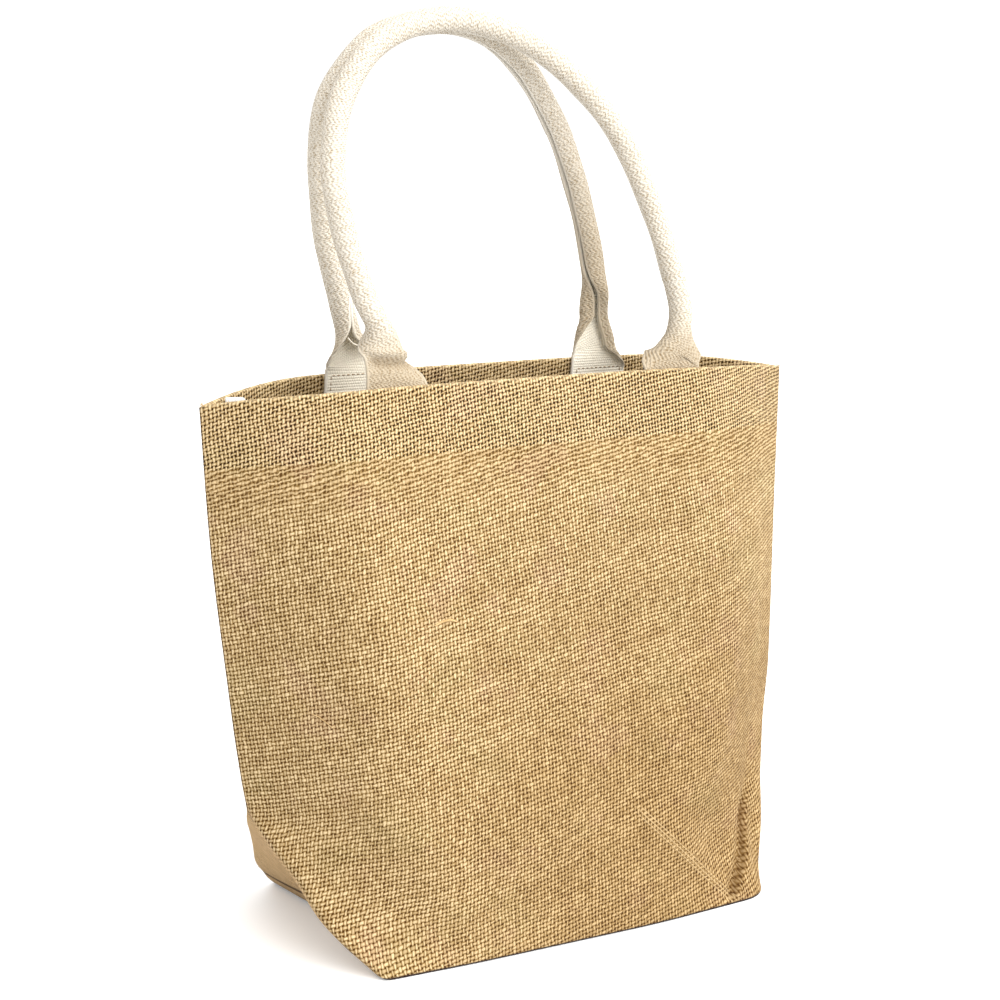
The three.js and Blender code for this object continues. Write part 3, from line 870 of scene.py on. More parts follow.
@dataclass
class Handle:
    """A strip of webbing, flat at its feet and rolled round into a tube between them.

    Attributes:
        body: The body that it is sewn to.
        name: The piece's name.
        node: The solid that it stands for.
        side: The panel that it is sewn to.
        feet: Its left and right foot.
        arch: The tube's centre line in millimetres.
        flat: The strip's width and length in metres; not used.
        seed: Where its small dents start.
        foot_depth: How far a foot reaches below the rim.
        foot_clearance: How far a foot lies off the hem.
        foot_straight: How far above the rim it goes straight up.
        crease_radius: The radius of a creased edge.
        crease_room: How much wider than its half a creased flap may lie.
        open_span: The heights above the rim where a creased foot opens to the tube.
        turn_span: The heights where the webbing turns from the hem into the arch.
        dent_span: The heights where its small dents start and are full.
        segments: How many faces it has across.
        station_step: How far its stations are apart.
        arch_center: What the tube's seam looks towards.
        tube_radius: The tube's radius, to the middle of the webbing.
        edge_rounding: How far from its edges the webbing gets thinner.
        edge_share: How thick its very edge is, against the rest.
        ridge: How far the ridge of a pressed tube stands out, and how far it spreads.
        valley: The same of the valley below it.
        valley_drop: How far the valley lies below the ridge.
        press_slope: How fast both climb across the webbing.
        press_span: How far from the edges they start and are full.
        sewing_half_width: How far the stitches reach to each side of a foot's middle.
        sewing_bottom: Height of the lowest row of stitches, from the rim.
        stitch_step: How far the stitches are apart.
    """

    body: Body
    name: str
    node: str
    side: Side
    feet: tuple[Foot, Foot]
    arch: tuple[Place, ...]
    flat: Span
    seed: int
    foot_depth: float = 34.0
    foot_clearance: float = 0.75
    foot_straight: float = 8.0
    crease_radius: float = 2.5
    crease_room: float = 1.0
    open_span: Span = (24.0, 54.0)
    turn_span: Span = (22.0, 66.0)
    dent_span: Span = (20.0, 50.0)
    segments: int = 40
    station_step: float = 2.3
    arch_center: Place = (-6.0, 12.0, 425.0)
    tube_radius: float = (WEBBING_WIDTH / 2 + SEAM_GAP / 2) / math.pi
    edge_rounding: float = 1.2
    edge_share: float = 0.8
    ridge: Span = (2.4, 1.9)
    valley: Span = (3.2, 2.8)
    valley_drop: float = 5.0
    press_slope: float = 0.12
    press_span: Span = (2.0, 7.0)
    sewing_half_width: float = 15.5
    sewing_bottom: float = -30.0
    stitch_step: float = 3.1

    def into_bag(self, x: float, z: float) -> Array:
        """Gives the level direction into the bag from a place along the mouth and a height."""
        return unit(np.array([self.chord(x, z)[1] * self.side.value, -self.side.value, 0.0]))

    def chord(self, x: float, z: float) -> Span:
        """Gives how the hem lies behind a foot.

        Args:
            x: The foot's place.
            z: The height.

        Returns:
            The hem's place from front to back, and its slope.
        """
        height, half = min(z, BAG_HEIGHT - FOLD_RADIUS), WEBBING_WIDTH / 2
        left, right = (self.body.face_y(self.side.value, x + off, height) for off in (-half, half))
        return (left + right) / 2, (right - left) / WEBBING_WIDTH

    def foot_line(self, foot: Foot) -> list[Array]:
        """Gives the centre line's points at a foot, from its lower end.

        Args:
            foot: The foot.

        Returns:
            Four points.
        """
        offset = self.foot_clearance + WEBBING_THICKNESS / 2 + self.tube_radius
        points = []
        for rise in (-self.foot_depth, -self.foot_depth / 2, -FOLD_RADIUS, self.foot_straight):
            z = BAG_HEIGHT + rise
            y, _ = self.chord(foot.x, z)
            points.append(np.array([foot.x, y, z]) + self.into_bag(foot.x, z) * offset)
        return points

    def route(self) -> list[Station]:
        """Lays stations along the smooth centre line.

        Returns:
            The stations from the left foot to the right one.
        """
        left, right = self.feet
        arch = [np.array(point, float) for point in self.arch]
        knots = [*self.foot_line(left), *arch, *self.foot_line(right)[::-1]]
        ends = [2 * knots[0] - knots[1], *knots, 2 * knots[-1] - knots[-2]]
        dense = []
        for i in range(len(knots) - 1):
            p0, p1, p2, p3 = ends[i : i + 4]
            d0, d1, d2 = (distance(*pair) ** 0.5 for pair in ((p1, p0), (p2, p1), (p3, p2)))
            leaving = ((p1 - p0) / d0 - (p2 - p0) / (d0 + d1) + (p2 - p1) / d1) * d1
            arriving = ((p2 - p1) / d1 - (p3 - p1) / (d1 + d2) + (p3 - p2) / d2) * d1
            dense.append(curve(np.linspace(0, 1, 61)[:-1, None], p1, p2, leaving, arriving))
        path = np.concatenate([*dense, knots[-1][None]])
        run = lengths(path)
        at = np.linspace(0, run[-1], round(run[-1] / self.station_step) + 1)
        centers = read_rows(at, run, path)
        ways = unit(read_rows(at, run, np.gradient(path, run, axis=0)))
        return [Station(c, w, float(r)) for c, w, r in zip(centers, ways, at, strict=True)]

    def half_bend(self, foot: Foot, edge: Span, rise: float) -> Bend:
        """Tells how one half of the webbing bends at a height.

        Args:
            foot: The nearer foot.
            edge: Where this half's edge starts and ends to curl.
            rise: The height above the rim.

        Returns:
            The bend.
        """
        if not foot.creased:
            curl = float(smooth(rise, *edge))
            return Bend(0.0, self.tube_radius / max(curl, LEAST_CURL))
        half = WEBBING_WIDTH / 2
        opened = float(smooth(rise, *self.open_span))
        radius = self.crease_radius + (self.tube_radius - self.crease_radius) * opened
        closed = max(half - math.pi * radius + self.crease_room, 0.0) / 2
        curl = min(max((rise - edge[0]) / (edge[1] - edge[0]), 0.0), 1.0)
        return Bend(half + (closed - half) * curl, radius)

    def frame_at(self, station: Station) -> tuple[Array, Array, Array, float, Foot]:
        """Gives how the webbing is turned at a station.

        Args:
            station: The station.

        Returns:
            The webbing's middle, its way across, the way to its inner side, the height above
            the rim and the nearer foot.
        """
        rise = float(station.center[2]) - BAG_HEIGHT
        foot = self.nearer_foot(station)
        turn = float(smooth(rise, *self.turn_span))
        into_arch = np.array(self.arch_center) - station.center
        into_arch = unit(into_arch - (into_arch @ station.tangent) * station.tangent)
        normal = self.into_bag(foot.x, BAG_HEIGHT) * (1 - turn) + into_arch * turn
        normal = unit(normal - (normal @ station.tangent) * station.tangent)
        across = np.cross(station.tangent, normal)
        return station.center - normal * self.tube_radius, across, normal, rise, foot

    def nearer_foot(self, station: Station) -> Foot:
        """Gives the foot on a station's own side."""
        return self.feet[0] if station.center[0] < 0 else self.feet[1]

    def press(self, foot: Foot, z: float, place: float) -> Span:
        """Tells where the tube is pressed flat above a foot.

        Args:
            foot: The nearer foot.
            z: The height.
            place: The place across the webbing.

        Returns:
            The share of the ridge and of the valley below it.
        """
        if not foot.pressed_at:
            return 0.0, 0.0
        off = z - BAG_HEIGHT - foot.pressed_at - self.press_slope * place
        inside = float(smooth(WEBBING_WIDTH / 2 - abs(place), *self.press_span))
        ridge = math.exp(-((off / self.ridge[1]) ** 2))
        valley = math.exp(-(((off + self.valley_drop) / self.valley[1]) ** 2))
        return inside * ridge, inside * valley

    def section(self, station: Station) -> tuple[Array, Array]:
        """Makes the webbing's two faces at a station.

        Args:
            station: The station.

        Returns:
            The inner face's points and the outer face's, from one edge to the other.
        """
        spine, across, normal, rise, foot = self.frame_at(station)
        bends = {}
        for sign in (-1, 1):
            edge = foot.left if sign * across[0] < 0 else foot.right
            height = rise + sign * float(across[2]) * WEBBING_WIDTH / 2
            bends[sign] = self.half_bend(foot, edge, height)
        swell = float(smooth(rise, *self.dent_span))
        inner, outer = [], []
        for i in range(self.segments + 1):
            place = (i / self.segments - 0.5) * WEBBING_WIDTH
            sign = -1 if place < 0 else 1
            out, up, turned = bends[sign].at(abs(place))
            outwards = across * (sign * math.sin(turned)) - normal * math.cos(turned)
            middle = spine + across * (sign * out) + normal * up
            dent = sum(float(wave.push(place, station.run, self.seed)) for wave in DENTS)
            middle = middle + outwards * (dent * swell)
            ridge, valley = self.press(foot, float(middle[2]), place)
            middle = middle + outwards * (self.ridge[0] * ridge - self.valley[0] * valley)
            rim = min((WEBBING_WIDTH / 2 - abs(place)) / self.edge_rounding, 1.0)
            fullness = math.sqrt(max(1 - (1 - rim) ** 2, 0.0))
            half = WEBBING_THICKNESS / 2 * (self.edge_share + (1 - self.edge_share) * fullness)
            outer.append(middle + outwards * half)
            inner.append(middle - outwards * half)
        return np.array(inner), np.array(outer)

    def build(self) -> Piece:
        """Builds the handle as one thin sheet.

        Returns:
            The handle's object, with its cloth places and inner face marked, and its pressed valley
            and feet marked for painted shade.
        """
        stations = self.route()
        points, uvs, inside, pressed, low = [], [], [], [], []
        for station in stations:
            inner, outer = self.section(station)
            across = np.linspace(-0.5, 0.5, self.segments + 1) * WEBBING_WIDTH
            foot = self.nearer_foot(station)
            added = [*inner, *outer[::-1]]
            places = (*across, *across[::-1])
            points += added
            uvs += [np.array([u, station.run]) for u in places]
            inside += [1.0] * len(inner) + [0.0] * len(outer)
            # Each point's share of the pressed valley, for its painted shade.
            for point, u in zip(added, places, strict=True):
                pressed.append(self.press(foot, point[2], u)[1])
            # Painted shade on the outer face near the feet, fading out up to shaded_to.
            top = foot.shaded_to
            low += [1 - float(smooth(point[2] - BAG_HEIGHT, 0.15 * top, top)) for point in added]
        count = 2 * (self.segments + 1)
        starts = range(0, len(stations) * count, count)
        faces = walls([range(start, start + count) for start in starts])
        top = starts[-1]
        for i in range(self.segments):
            a, b, c, d = i, i + 1, count - 2 - i, count - 1 - i
            faces.append((d, c, b, a))
            faces.append((top + a, top + b, top + c, top + d))
        piece = new_object(self.name, np.array(points), faces, np.array(uvs))
        for start in starts[:-1]:
            for i in (self.segments, count - 1):
                piece.data.polygons[start + i].use_smooth = False
        point_attribute(piece, "inner_face", inside)
        point_attribute(piece, "pressed", pressed)
        point_attribute(piece, "foot_shade_share", low)
        return piece

    def sewing(self) -> list[tuple[Array, Array, Array]]:
        """Lays the stitches that hold the two feet, on the face that looks into the bag.

        Returns:
            Each stitch's middle, its direction and the way it stands out.
        """
        stitches = []
        off = self.foot_clearance + WEBBING_THICKNESS
        side, bottom = self.sewing_half_width, self.sewing_bottom
        for foot in self.feet:
            top = foot.sewing_top
            corners = ((-side, top), (side, top), (side, bottom), (-side, bottom))
            for (x0, r0), (x1, r1) in zip(corners, corners[1:] + corners[:1], strict=True):
                count = max(round(math.hypot(x1 - x0, r1 - r0) / self.stitch_step), 2)
                for k in range(count):
                    share = (k + 0.5) / count
                    z = BAG_HEIGHT + r0 + (r1 - r0) * share
                    y, slope = self.chord(foot.x, z)
                    out = self.into_bag(foot.x, z)
                    level = unit(np.array([1.0, slope, 0.0]))
                    run = level * (x1 - x0) + np.array([0.0, 0.0, r1 - r0])
                    middle = np.array([foot.x, y, z]) + out * off + level * (x0 + (x1 - x0) * share)
                    stitches.append((middle, unit(run), out))
        return stitches


FRONT_HANDLE = Handle(
    body=BODY,
    name="webbing_front",
    node="handle_front",
    side=Side.FRONT,
    feet=(
        Foot(-87.5, (15, 28), (-4, 25), False, -5.0, 17.0),
        Foot(95, (-3, 22), (2, 24), False, -5.0),
    ),
    arch=(
        (-89.5, -19.5, 351), (-101.5, -16, 376), (-111, -10.5, 410), (-115.5, -4, 452),
        (-106, 1.5, 488), (-79, 6.5, 518.5), (-40, 8, 529), (-3, 7, 523.5), (30, 4.5, 506),
        (62, 0, 476), (86, -7, 432), (101, -14, 386), (106, -18, 362), (102, -20.5, 346),
    ),
    flat=(0.038, 0.555),
    seed=1,
)
BACK_HANDLE = Handle(
    body=BODY,
    name="webbing_back",
    node="handle_back",
    side=Side.BACK,
    feet=(
        Foot(-86.5, (0, 26), (7, 30), False, -1.5),
        Foot(79, (0, 22), (-12, 6), True, -7.0, shaded_to=180.0),
    ),
    arch=(
        (-92, 25, 348), (-99.5, 25, 374), (-108, 25, 412), (-110.5, 25.5, 448), (-104.5, 25.5, 486),
        (-78, 26, 517), (-41, 26, 528), (-10, 26, 524), (19, 26, 504), (42, 26, 470),
        (60, 25.5, 425), (70.5, 25, 378), (73.5, 25, 352),
    ),
    flat=(0.038, 0.515),
    seed=4,
)


# Small pieces.


def tube_mesh(
    paths: Sequence[Array], radii: Sequence[Sequence[float]], corners: int
) -> tuple[Array, list[Face], Array]:
    """Puts closed tubes round short paths.

    Args:
        paths: Each tube's centre line.
        radii: Each tube's radius at each of its points.
        corners: How many corners a tube has.

    Returns:
        The points, the faces, and a share along its tube with its number for each point.
    """
    points: list[Array] = []
    faces: list[Face] = []
    uvs: list[Span] = []
    for number, (path, radius) in enumerate(zip(paths, radii, strict=True)):
        ways = unit(np.gradient(path, axis=0))
        helper = np.eye(3)[int(np.argmin(np.abs(ways).max(axis=0)))]
        starts = range(len(points), len(points) + len(path) * corners, corners)
        rings = [range(start, start + corners) for start in starts]
        for k, (point, way) in enumerate(zip(path, ways, strict=True)):
            first = unit(np.cross(way, helper))
            second = np.cross(way, first)
            for c in range(corners):
                angle = 2 * math.pi * c / corners
                out = math.cos(angle) * first + math.sin(angle) * second
                points.append(point + radius[k] * out)
                uvs.append((k / (len(path) - 1), float(number)))
        faces += walls(rings)
        faces += [tuple(rings[0])[::-1], tuple(rings[-1])]
    return np.array(points), faces, np.array(uvs)


@dataclass
class SeamTab:
    """The short white tape that stands inside the mouth at the left side seam, in millimetres.

    Attributes:
        width: How far it reaches from the seam.
        height: How tall it is.
        thickness: How thick it is.
        flat: The cut's width and length in metres; not used.
        columns: How many faces it has across.
        rows: How many it has up.
        corner: How far its free corners are rounded.
        tuck: How far it is tucked in at the top of the seam.
        droop: How far its free end sinks.
        curve: How far it curves.
        ripple: How far it ripples.
    """

    width: float = 19.0
    height: float = 26.0
    thickness: float = 1.0
    flat: Span = (0.019, 0.026)
    columns: int = 14
    rows: int = 18
    corner: float = 1.6
    tuck: float = 6.5
    droop: float = 0.7
    curve: float = 0.35
    ripple: float = 0.15

    def build(self) -> Piece:
        """Builds the tape as a thin, slightly curved sheet.

        Returns:
            The tape's object.
        """
        low, high = (np.array(corner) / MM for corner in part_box("seam_tab"))
        middle = (low + high) / 2
        columns, rows = self.columns, self.rows
        t, s = np.indices((rows + 1, columns + 1)).reshape(2, -1) / np.array([[rows], [columns]])
        rounded = self.corner * np.maximum(s - 0.75, 0.0) / 0.25 * np.abs(2 * t - 1) ** 6
        tucked = self.tuck * (1 - s) * smooth(t, 0.5, 0.8)
        x = low[0] + (high[0] - low[0]) * s - rounded + tucked
        y = middle[1] + self.curve * np.sin(2.6 * s + 0.4) * s + self.ripple * np.sin(5 * t)
        z = low[2] + (high[2] - low[2]) * t - self.droop * s * s
        half = np.array([0, self.thickness / 2, 0])
        sheet, count = np.stack([x, y, z], 1), len(s)
        points = np.concatenate([sheet - half, sheet + half])
        faces: list[Face] = []
        width = columns + 1
        for j in range(rows):
            for i in range(columns):
                a, b = j * width + i, j * width + i + 1
                c, d = b + width, a + width
                faces.append((a, b, c, d))
                faces.append((count + d, count + c, count + b, count + a))
        ring = list(range(width))
        ring += [j * width + columns for j in range(1, rows + 1)]
        ring += [rows * width + i for i in range(columns - 1, -1, -1)]
        ring += [j * width for j in range(rows - 1, 0, -1)]
        for a, b in zip(ring, ring[1:] + ring[:1], strict=True):
            faces.append((b, a, count + a, count + b))
        places = np.stack([s * self.width, t * self.height], 1)
        return new_object("white_tab", points, faces, np.concatenate([places, places]))


@dataclass(frozen=True)
class Stray:
    """A longer fibre or thick piece of yarn on the front panel, with lift for its two ends."""

    path: tuple[Span, ...]
    lift: Span
    radius: float


@dataclass
class LooseFibres:
    """Thin jute fibres that stand off the cloth, and stray ones on the panel, in millimetres.

    Attributes:
        body: The body that they stand on.
        on_rim: How many stand on the rim.
        on_seams: How many stand on each side seam.
        on_panels: How many lie on the panels.
        seed: What their places start from.
        rim_length: The least and most length of those on the rim.
        seam_length: The same on the seams.
        panel_length: The same on the panels.
        seam_heights: The lowest and highest place of those on the seams.
        panel_heights: The same on the panels.
        lean: How strongly they lean at most.
        curl: How strongly they curl at most.
        thickness: The least and most radius.
        taper: The radius from root to tip, against the fibre's own.
        strays: The longer ones that the front shows.
    """

    body: Body
    on_rim: int = 260
    on_seams: int = 90
    on_panels: int = 300
    seed: int = 7
    rim_length: Span = (1.2, 3.4)
    seam_length: Span = (1.2, 3.6)
    panel_length: Span = (1.5, 5.0)
    seam_heights: Span = (20.0, 320.0)
    panel_heights: Span = (8.0, 320.0)
    lean: float = 1.4
    curl: float = 1.3
    thickness: Span = (0.05, 0.11)
    taper: tuple[float, ...] = (1.0, 1.0, 1.0, 0.9, 0.7, 0.3)
    strays: tuple[Stray, ...] = (
        Stray(((-153, 148), (-149, 146.6), (-145, 143.4), (-141, 140)), (0.9, 0.4), 0.26),
        Stray(((28, 158), (28.6, 154), (26, 150), (22, 146.5)), (0.7, 0.3), 0.17),
        Stray(((-66, 196), (-70, 197.4), (-75, 197), (-80, 195.2)), (0.2, 0.2), 0.85),
        Stray(((-196, 303), (-198.6, 303.6), (-199.4, 301)), (0.2, 5.5), 0.09),
        Stray(((-196, 86), (-199, 91), (-199.6, 98), (-199, 104)), (0.4, 4.0), 0.09),
        Stray(((58, 97), (61, 94), (63, 92.6)), (0.5, 0.3), 0.13),
    )

    def laid(self, stray: Stray) -> Array:
        """Lays a stray on the front panel.

        Args:
            stray: The stray.

        Returns:
            Its centre line.
        """
        path = np.array(stray.path, float)
        share, at = np.linspace(0, 1, 4 * len(path)), np.linspace(0, 1, len(path))
        points = []
        for t, (place, z) in zip(share, read_rows(share, at, path), strict=True):
            ring = self.body.ring(z, 0.0)
            front = np.flatnonzero(~ring.on_back)
            front = front[np.argsort(ring.along[front])]
            found = [np.interp(place, ring.along[front], ring.points[front, k]) for k in range(3)]
            lift = 0.25 + stray.lift[0] * (1 - t) ** 3 + stray.lift[1] * t**3
            off = np.array([-0.45 if place < -190 else 0.0, -1.0, 0.1])
            points.append(np.array(found) + lift * off)
        return np.array(points)

    def strand(
        self, chance: random.Random, root: Array, ways: tuple[Array, Array], reach: float
    ) -> Array:
        """Bends one fibre.

        Args:
            chance: The source of chance.
            root: Its root.
            ways: The way off the cloth and a way on it.
            reach: Its length.

        Returns:
            Its centre line.
        """
        out, along = ways
        lean = chance.uniform(-self.lean, self.lean)
        curl = chance.uniform(-self.curl, self.curl)
        points = []
        for k in range(len(self.taper)):
            t = k / (len(self.taper) - 1)
            lift = math.sin(t * chance.uniform(1.5, 1.7)) * 0.55
            bent = along * (lean * t * 0.5 + curl * t * t * 0.35)
            points.append(root + reach * (out * lift + bent))
        return np.array(points)

    def build(self) -> Piece:
        """Builds all fibres as one piece.

        Returns:
            The fibres' object.
        """
        chance = random.Random(self.seed)
        paths, radii = [], []
        up = np.array([0.0, 0.0, 1.0])

        def grow(z: float, pick: Callable[[int], int], length: Span, rise: float) -> None:
            """Adds one fibre.

            Args:
                z: Its height.
                pick: Chooses its column.
                length: Its least and most length.
                rise: How much it stands up rather than out.
            """
            ring = self.body.ring(z, 0.0).points
            i = pick(len(ring)) % len(ring)
            step = unit(ring[(i + 1) % len(ring)] - ring[i - 1])
            out = np.array([step[1], -step[0], 0.0]) * (1 - rise) + up * rise
            way = step * chance.uniform(-1, 1) + up * chance.uniform(-1, 1)
            root = ring[i] + step * chance.uniform(-1.5, 1.5) - out * 0.2
            paths.append(self.strand(chance, root, (unit(out), way), chance.uniform(*length)))
            thick = chance.uniform(*self.thickness)
            radii.append([thick * share for share in self.taper])

        quarter = self.body.panel_columns + self.body.side_columns
        for _ in range(self.on_rim):
            grow(BAG_HEIGHT - 0.3, chance.randrange, self.rim_length, 0.75)
        for _ in range(self.on_seams):
            for seam in (quarter, 3 * quarter):
                z = chance.uniform(*self.seam_heights)
                grow(z, lambda n, s=seam: s + chance.randint(-2, 2), self.seam_length, 0.1)
        for _ in range(self.on_panels):
            grow(chance.uniform(*self.panel_heights), chance.randrange, self.panel_length, 0.0)
        for stray in self.strays:
            paths.append(self.laid(stray))
            middle = np.abs(np.linspace(-1, 1, len(paths[-1])))
            radii.append(list(stray.radius * (1 - 0.6 * middle**3)))
        points, faces, uvs = tube_mesh(paths, radii, 4)
        return new_object("jute_fibres", points, faces, uvs)


@dataclass
class FootSewing:
    """The stitches that hold the four handle feet, in millimetres.

    Attributes:
        length: The length of a stitch.
        radius: The thread's radius.
        taper: A stitch's radius along it, against the thread's.
        loose_radius: The radius of the light thread that hangs loose in the back handle.
        loose_end: Its path.
    """

    length: float = 2.3
    radius: float = 0.36
    taper: tuple[float, ...] = (0.6, 1.0, 1.0, 1.0, 0.6)
    loose_radius: float = 0.42
    loose_end: tuple[Place, ...] = (
        (-97.6, 16.6, 350.6), (-96.6, 15.8, 348.8), (-94.6, 15.4, 347.2), (-92.2, 15.4, 346.0),
        (-89.8, 15.8, 346.2), (-88.0, 16.6, 348.0),
    )

    def build(self, handles: Sequence[Handle]) -> Piece:
        """Builds all stitches as one piece.

        Args:
            handles: The handles whose feet are sewn on.

        Returns:
            The stitches' object.
        """
        paths, radii = [], []
        for handle in handles:
            for middle, run, out in handle.sewing():
                t = np.linspace(-1, 1, len(self.taper))[:, None]
                sunk = out * (0.05 - 0.55 * t**4)
                paths.append(middle + run * t * self.length / 2 + sunk)
                radii.append([self.radius * share for share in self.taper])
        points, faces, uvs = tube_mesh(paths, radii, 5)
        return new_object("foot_sewing", points, faces, uvs)

    def loose_thread(self) -> Piece:
        """Builds the loose end of thread in the back handle's left foot.

        Returns:
            The thread's object.
        """
        knots = np.array(self.loose_end)
        run = np.linspace(0, 1, len(knots))
        fine = np.linspace(0, 1, 26)
        bent = [np.polynomial.Polynomial.fit(run, knots[:, k], 4)(fine) for k in range(3)]
        radii = [self.loose_radius] * len(fine)
        points, faces, uvs = tube_mesh([np.stack(bent, 1)], [radii], 8)
        return new_object("loose_thread", points, faces, uvs)


# Finishes.


@dataclass(frozen=True)
class Graph:
    """Adds nodes to one node tree and links them."""

    tree: Tree

    def add(self, kind: str, **settings: object) -> Node:
        """Adds a node.

        Args:
            kind: The node's type.
            **settings: Its settings by name.

        Returns:
            The node.
        """
        node = self.tree.nodes.new(kind)
        for name, value in settings.items():
            setattr(node, name, value)
        return node

    def feed(self, socket: Socket, value: Number | Sequence[float]) -> None:
        """Links or sets an input.

        Args:
            socket: The input.
            value: A socket to link, or a plain value.
        """
        if isinstance(value, Socket):
            self.tree.links.new(value, socket)
        else:
            socket.default_value = value

    def fill(self, node: Node, **values: Number | Sequence[float]) -> Node:
        """Feeds a node's inputs.

        Args:
            node: The node.
            **values: What they get by name, with the spaces in a name written as lines.

        Returns:
            The node.
        """
        for name, value in values.items():
            self.feed(node.inputs[name.replace("_", " ")], value)
        return node

    def result(self, kind: str, values: Sequence[Number], **settings: object) -> Socket:
        """Adds a node, feeds its first inputs and gives its result.

        Args:
            kind: The node's type.
            values: What its first inputs get.
            **settings: Its settings by name.

        Returns:
            Its first output.
        """
        node = self.add(kind, **settings)
        for socket, value in zip(node.inputs, values, strict=False):
            self.feed(socket, value)
        return node.outputs[0]

    def math(self, operation: str, *values: Number, clamp: bool = False) -> Socket:
        """Works out a number, kept from 0 to 1 if clamp is set."""
        return self.result("ShaderNodeMath", values, operation=operation, use_clamp=clamp)

    def times(self, first: Number, second: Number, clamp: bool = False) -> Socket:
        """Multiplies two numbers."""
        return self.math("MULTIPLY", first, second, clamp=clamp)

    def plus(self, first: Number, second: Number, clamp: bool = False) -> Socket:
        """Adds two numbers."""
        return self.math("ADD", first, second, clamp=clamp)

    def minus(self, first: Number, second: Number, clamp: bool = False) -> Socket:
        """Takes the second number from the first."""
        return self.math("SUBTRACT", first, second, clamp=clamp)

    def over(self, first: Number, second: Number) -> Socket:
        """Divides the first number by the second."""
        return self.math("DIVIDE", first, second)

    def times_plus(self, one: Number, two: Number, more: Number, clamp: bool = False) -> Socket:
        """Multiplies two numbers and adds a third."""
        return self.math("MULTIPLY_ADD", one, two, more, clamp=clamp)

    def rest(self, share: Number) -> Socket:
        """Gives what a share leaves of 1."""
        return self.minus(1.0, share)

    def centred(self, value: Number) -> Socket:
        """Moves a number that lies around a half to lie around 0."""
        return self.minus(value, 0.5)

    def either(self, share: Number, first: Number, second: Number) -> Socket:
        """Gives the first number where the share is 1, and the second where it is 0."""
        return self.plus(self.times(first, share), self.times(second, self.rest(share)))

    def wave(self, value: Number, length: float = 1.0) -> Socket:
        """Gives an even wave of a length."""
        return self.math("COSINE", self.times(value, 2 * math.pi / length))

    def spread(
        self, value: Number, low: float, high: float, start: float = 0.0, end: float = 1.0
    ) -> Socket:
        """Moves a number softly from the range low to high into the one from start to end."""
        given = (value, low, high, start, end)
        return self.result("ShaderNodeMapRange", given, interpolation_type="SMOOTHSTEP")

    def vector(self, x: Number, y: Number, z: Number = 0.0) -> Socket:
        """Joins three numbers to a vector."""
        return self.result("ShaderNodeCombineXYZ", (x, y, z))

    def split(self, vector: Socket) -> tuple[Socket, ...]:
        """Splits a vector into its three numbers."""
        return tuple(self.fill(self.add("ShaderNodeSeparateXYZ"), Vector=vector).outputs)

    def noise(self, vector: Socket, scale: float, detail: float = 2.0) -> Socket:
        """Gives soft noise around a half, with detail for its finer layers."""
        node = self.add("ShaderNodeTexNoise", noise_dimensions="3D")
        return self.fill(node, Vector=vector, Scale=scale, Detail=detail).outputs["Fac"]

    def chance(self, value: Number) -> Socket:
        """Gives an even random number from 0 to 1 for a whole number."""
        node = self.add("ShaderNodeTexWhiteNoise", noise_dimensions="1D")
        return self.fill(node, W=value).outputs["Value"]

    def attribute(self, name: str) -> Socket:
        """Reads a number that the mesh holds at its points."""
        return self.add("ShaderNodeAttribute", attribute_name=name).outputs["Fac"]

    def cloth(self) -> Socket:
        """Reads the place on the cloth, in millimetres."""
        return self.add("ShaderNodeUVMap", uv_map="cloth").outputs[0]

    def mix(
        self, share: Number, first: Socket | Colour, second: Socket | Colour, blend: str = "MIX"
    ) -> Socket:
        """Mixes two colours.

        Args:
            share: How much of the second.
            first: The first colour.
            second: The second colour.
            blend: How they are mixed.

        Returns:
            The mixed colour.
        """
        node = self.add("ShaderNodeMix", data_type="RGBA", blend_type=blend)
        self.feed(node.inputs[0], share)
        for socket, value in zip(node.inputs[6:8], (first, second), strict=True):
            self.feed(socket, value if isinstance(value, Socket) else (*value, 1.0))
        return node.outputs[2]

    def place(self, name: str, **values: Number) -> Node:
        """Places a shared node group and feeds its inputs by name."""
        group = self.add("ShaderNodeGroup", node_tree=bpy.data.node_groups[name])
        return self.fill(group, **values)

    def fuzz(self, across: Socket, along: Socket, fineness: float) -> Socket:
        """Gives the fine unevenness of spun yarn."""
        group = self.place("yarn_fuzz", Across=across, Along=along, Fineness=fineness)
        return group.outputs["Height"]

    def show(self, out: Node, lighting: Socket, seen: Socket) -> None:
        """Shows one shader to the camera, and another to all other rays."""
        rays = self.add("ShaderNodeLightPath").outputs["Is Camera Ray"]
        self.fill(out, Surface=self.result("ShaderNodeMixShader", (rays, lighting, seen)))


def start_group(
    name: str, inputs: dict[str, float], outputs: tuple[str, ...]
) -> tuple[Graph, Node, Node]:
    """Makes an empty node group.

    Args:
        name: The group's name.
        inputs: Its inputs with their plain values.
        outputs: Its outputs.

    Returns:
        The group's graph, and the nodes of its inputs and of its outputs.
    """
    tree = bpy.data.node_groups.new(name, "ShaderNodeTree")
    for socket, value in inputs.items():
        made = tree.interface.new_socket(socket, in_out="INPUT", socket_type="NodeSocketFloat")
        made.default_value = value
    for socket in outputs:
        tree.interface.new_socket(socket, in_out="OUTPUT", socket_type="NodeSocketFloat")
    graph = Graph(tree)
    return graph, graph.add("NodeGroupInput"), graph.add("NodeGroupOutput")


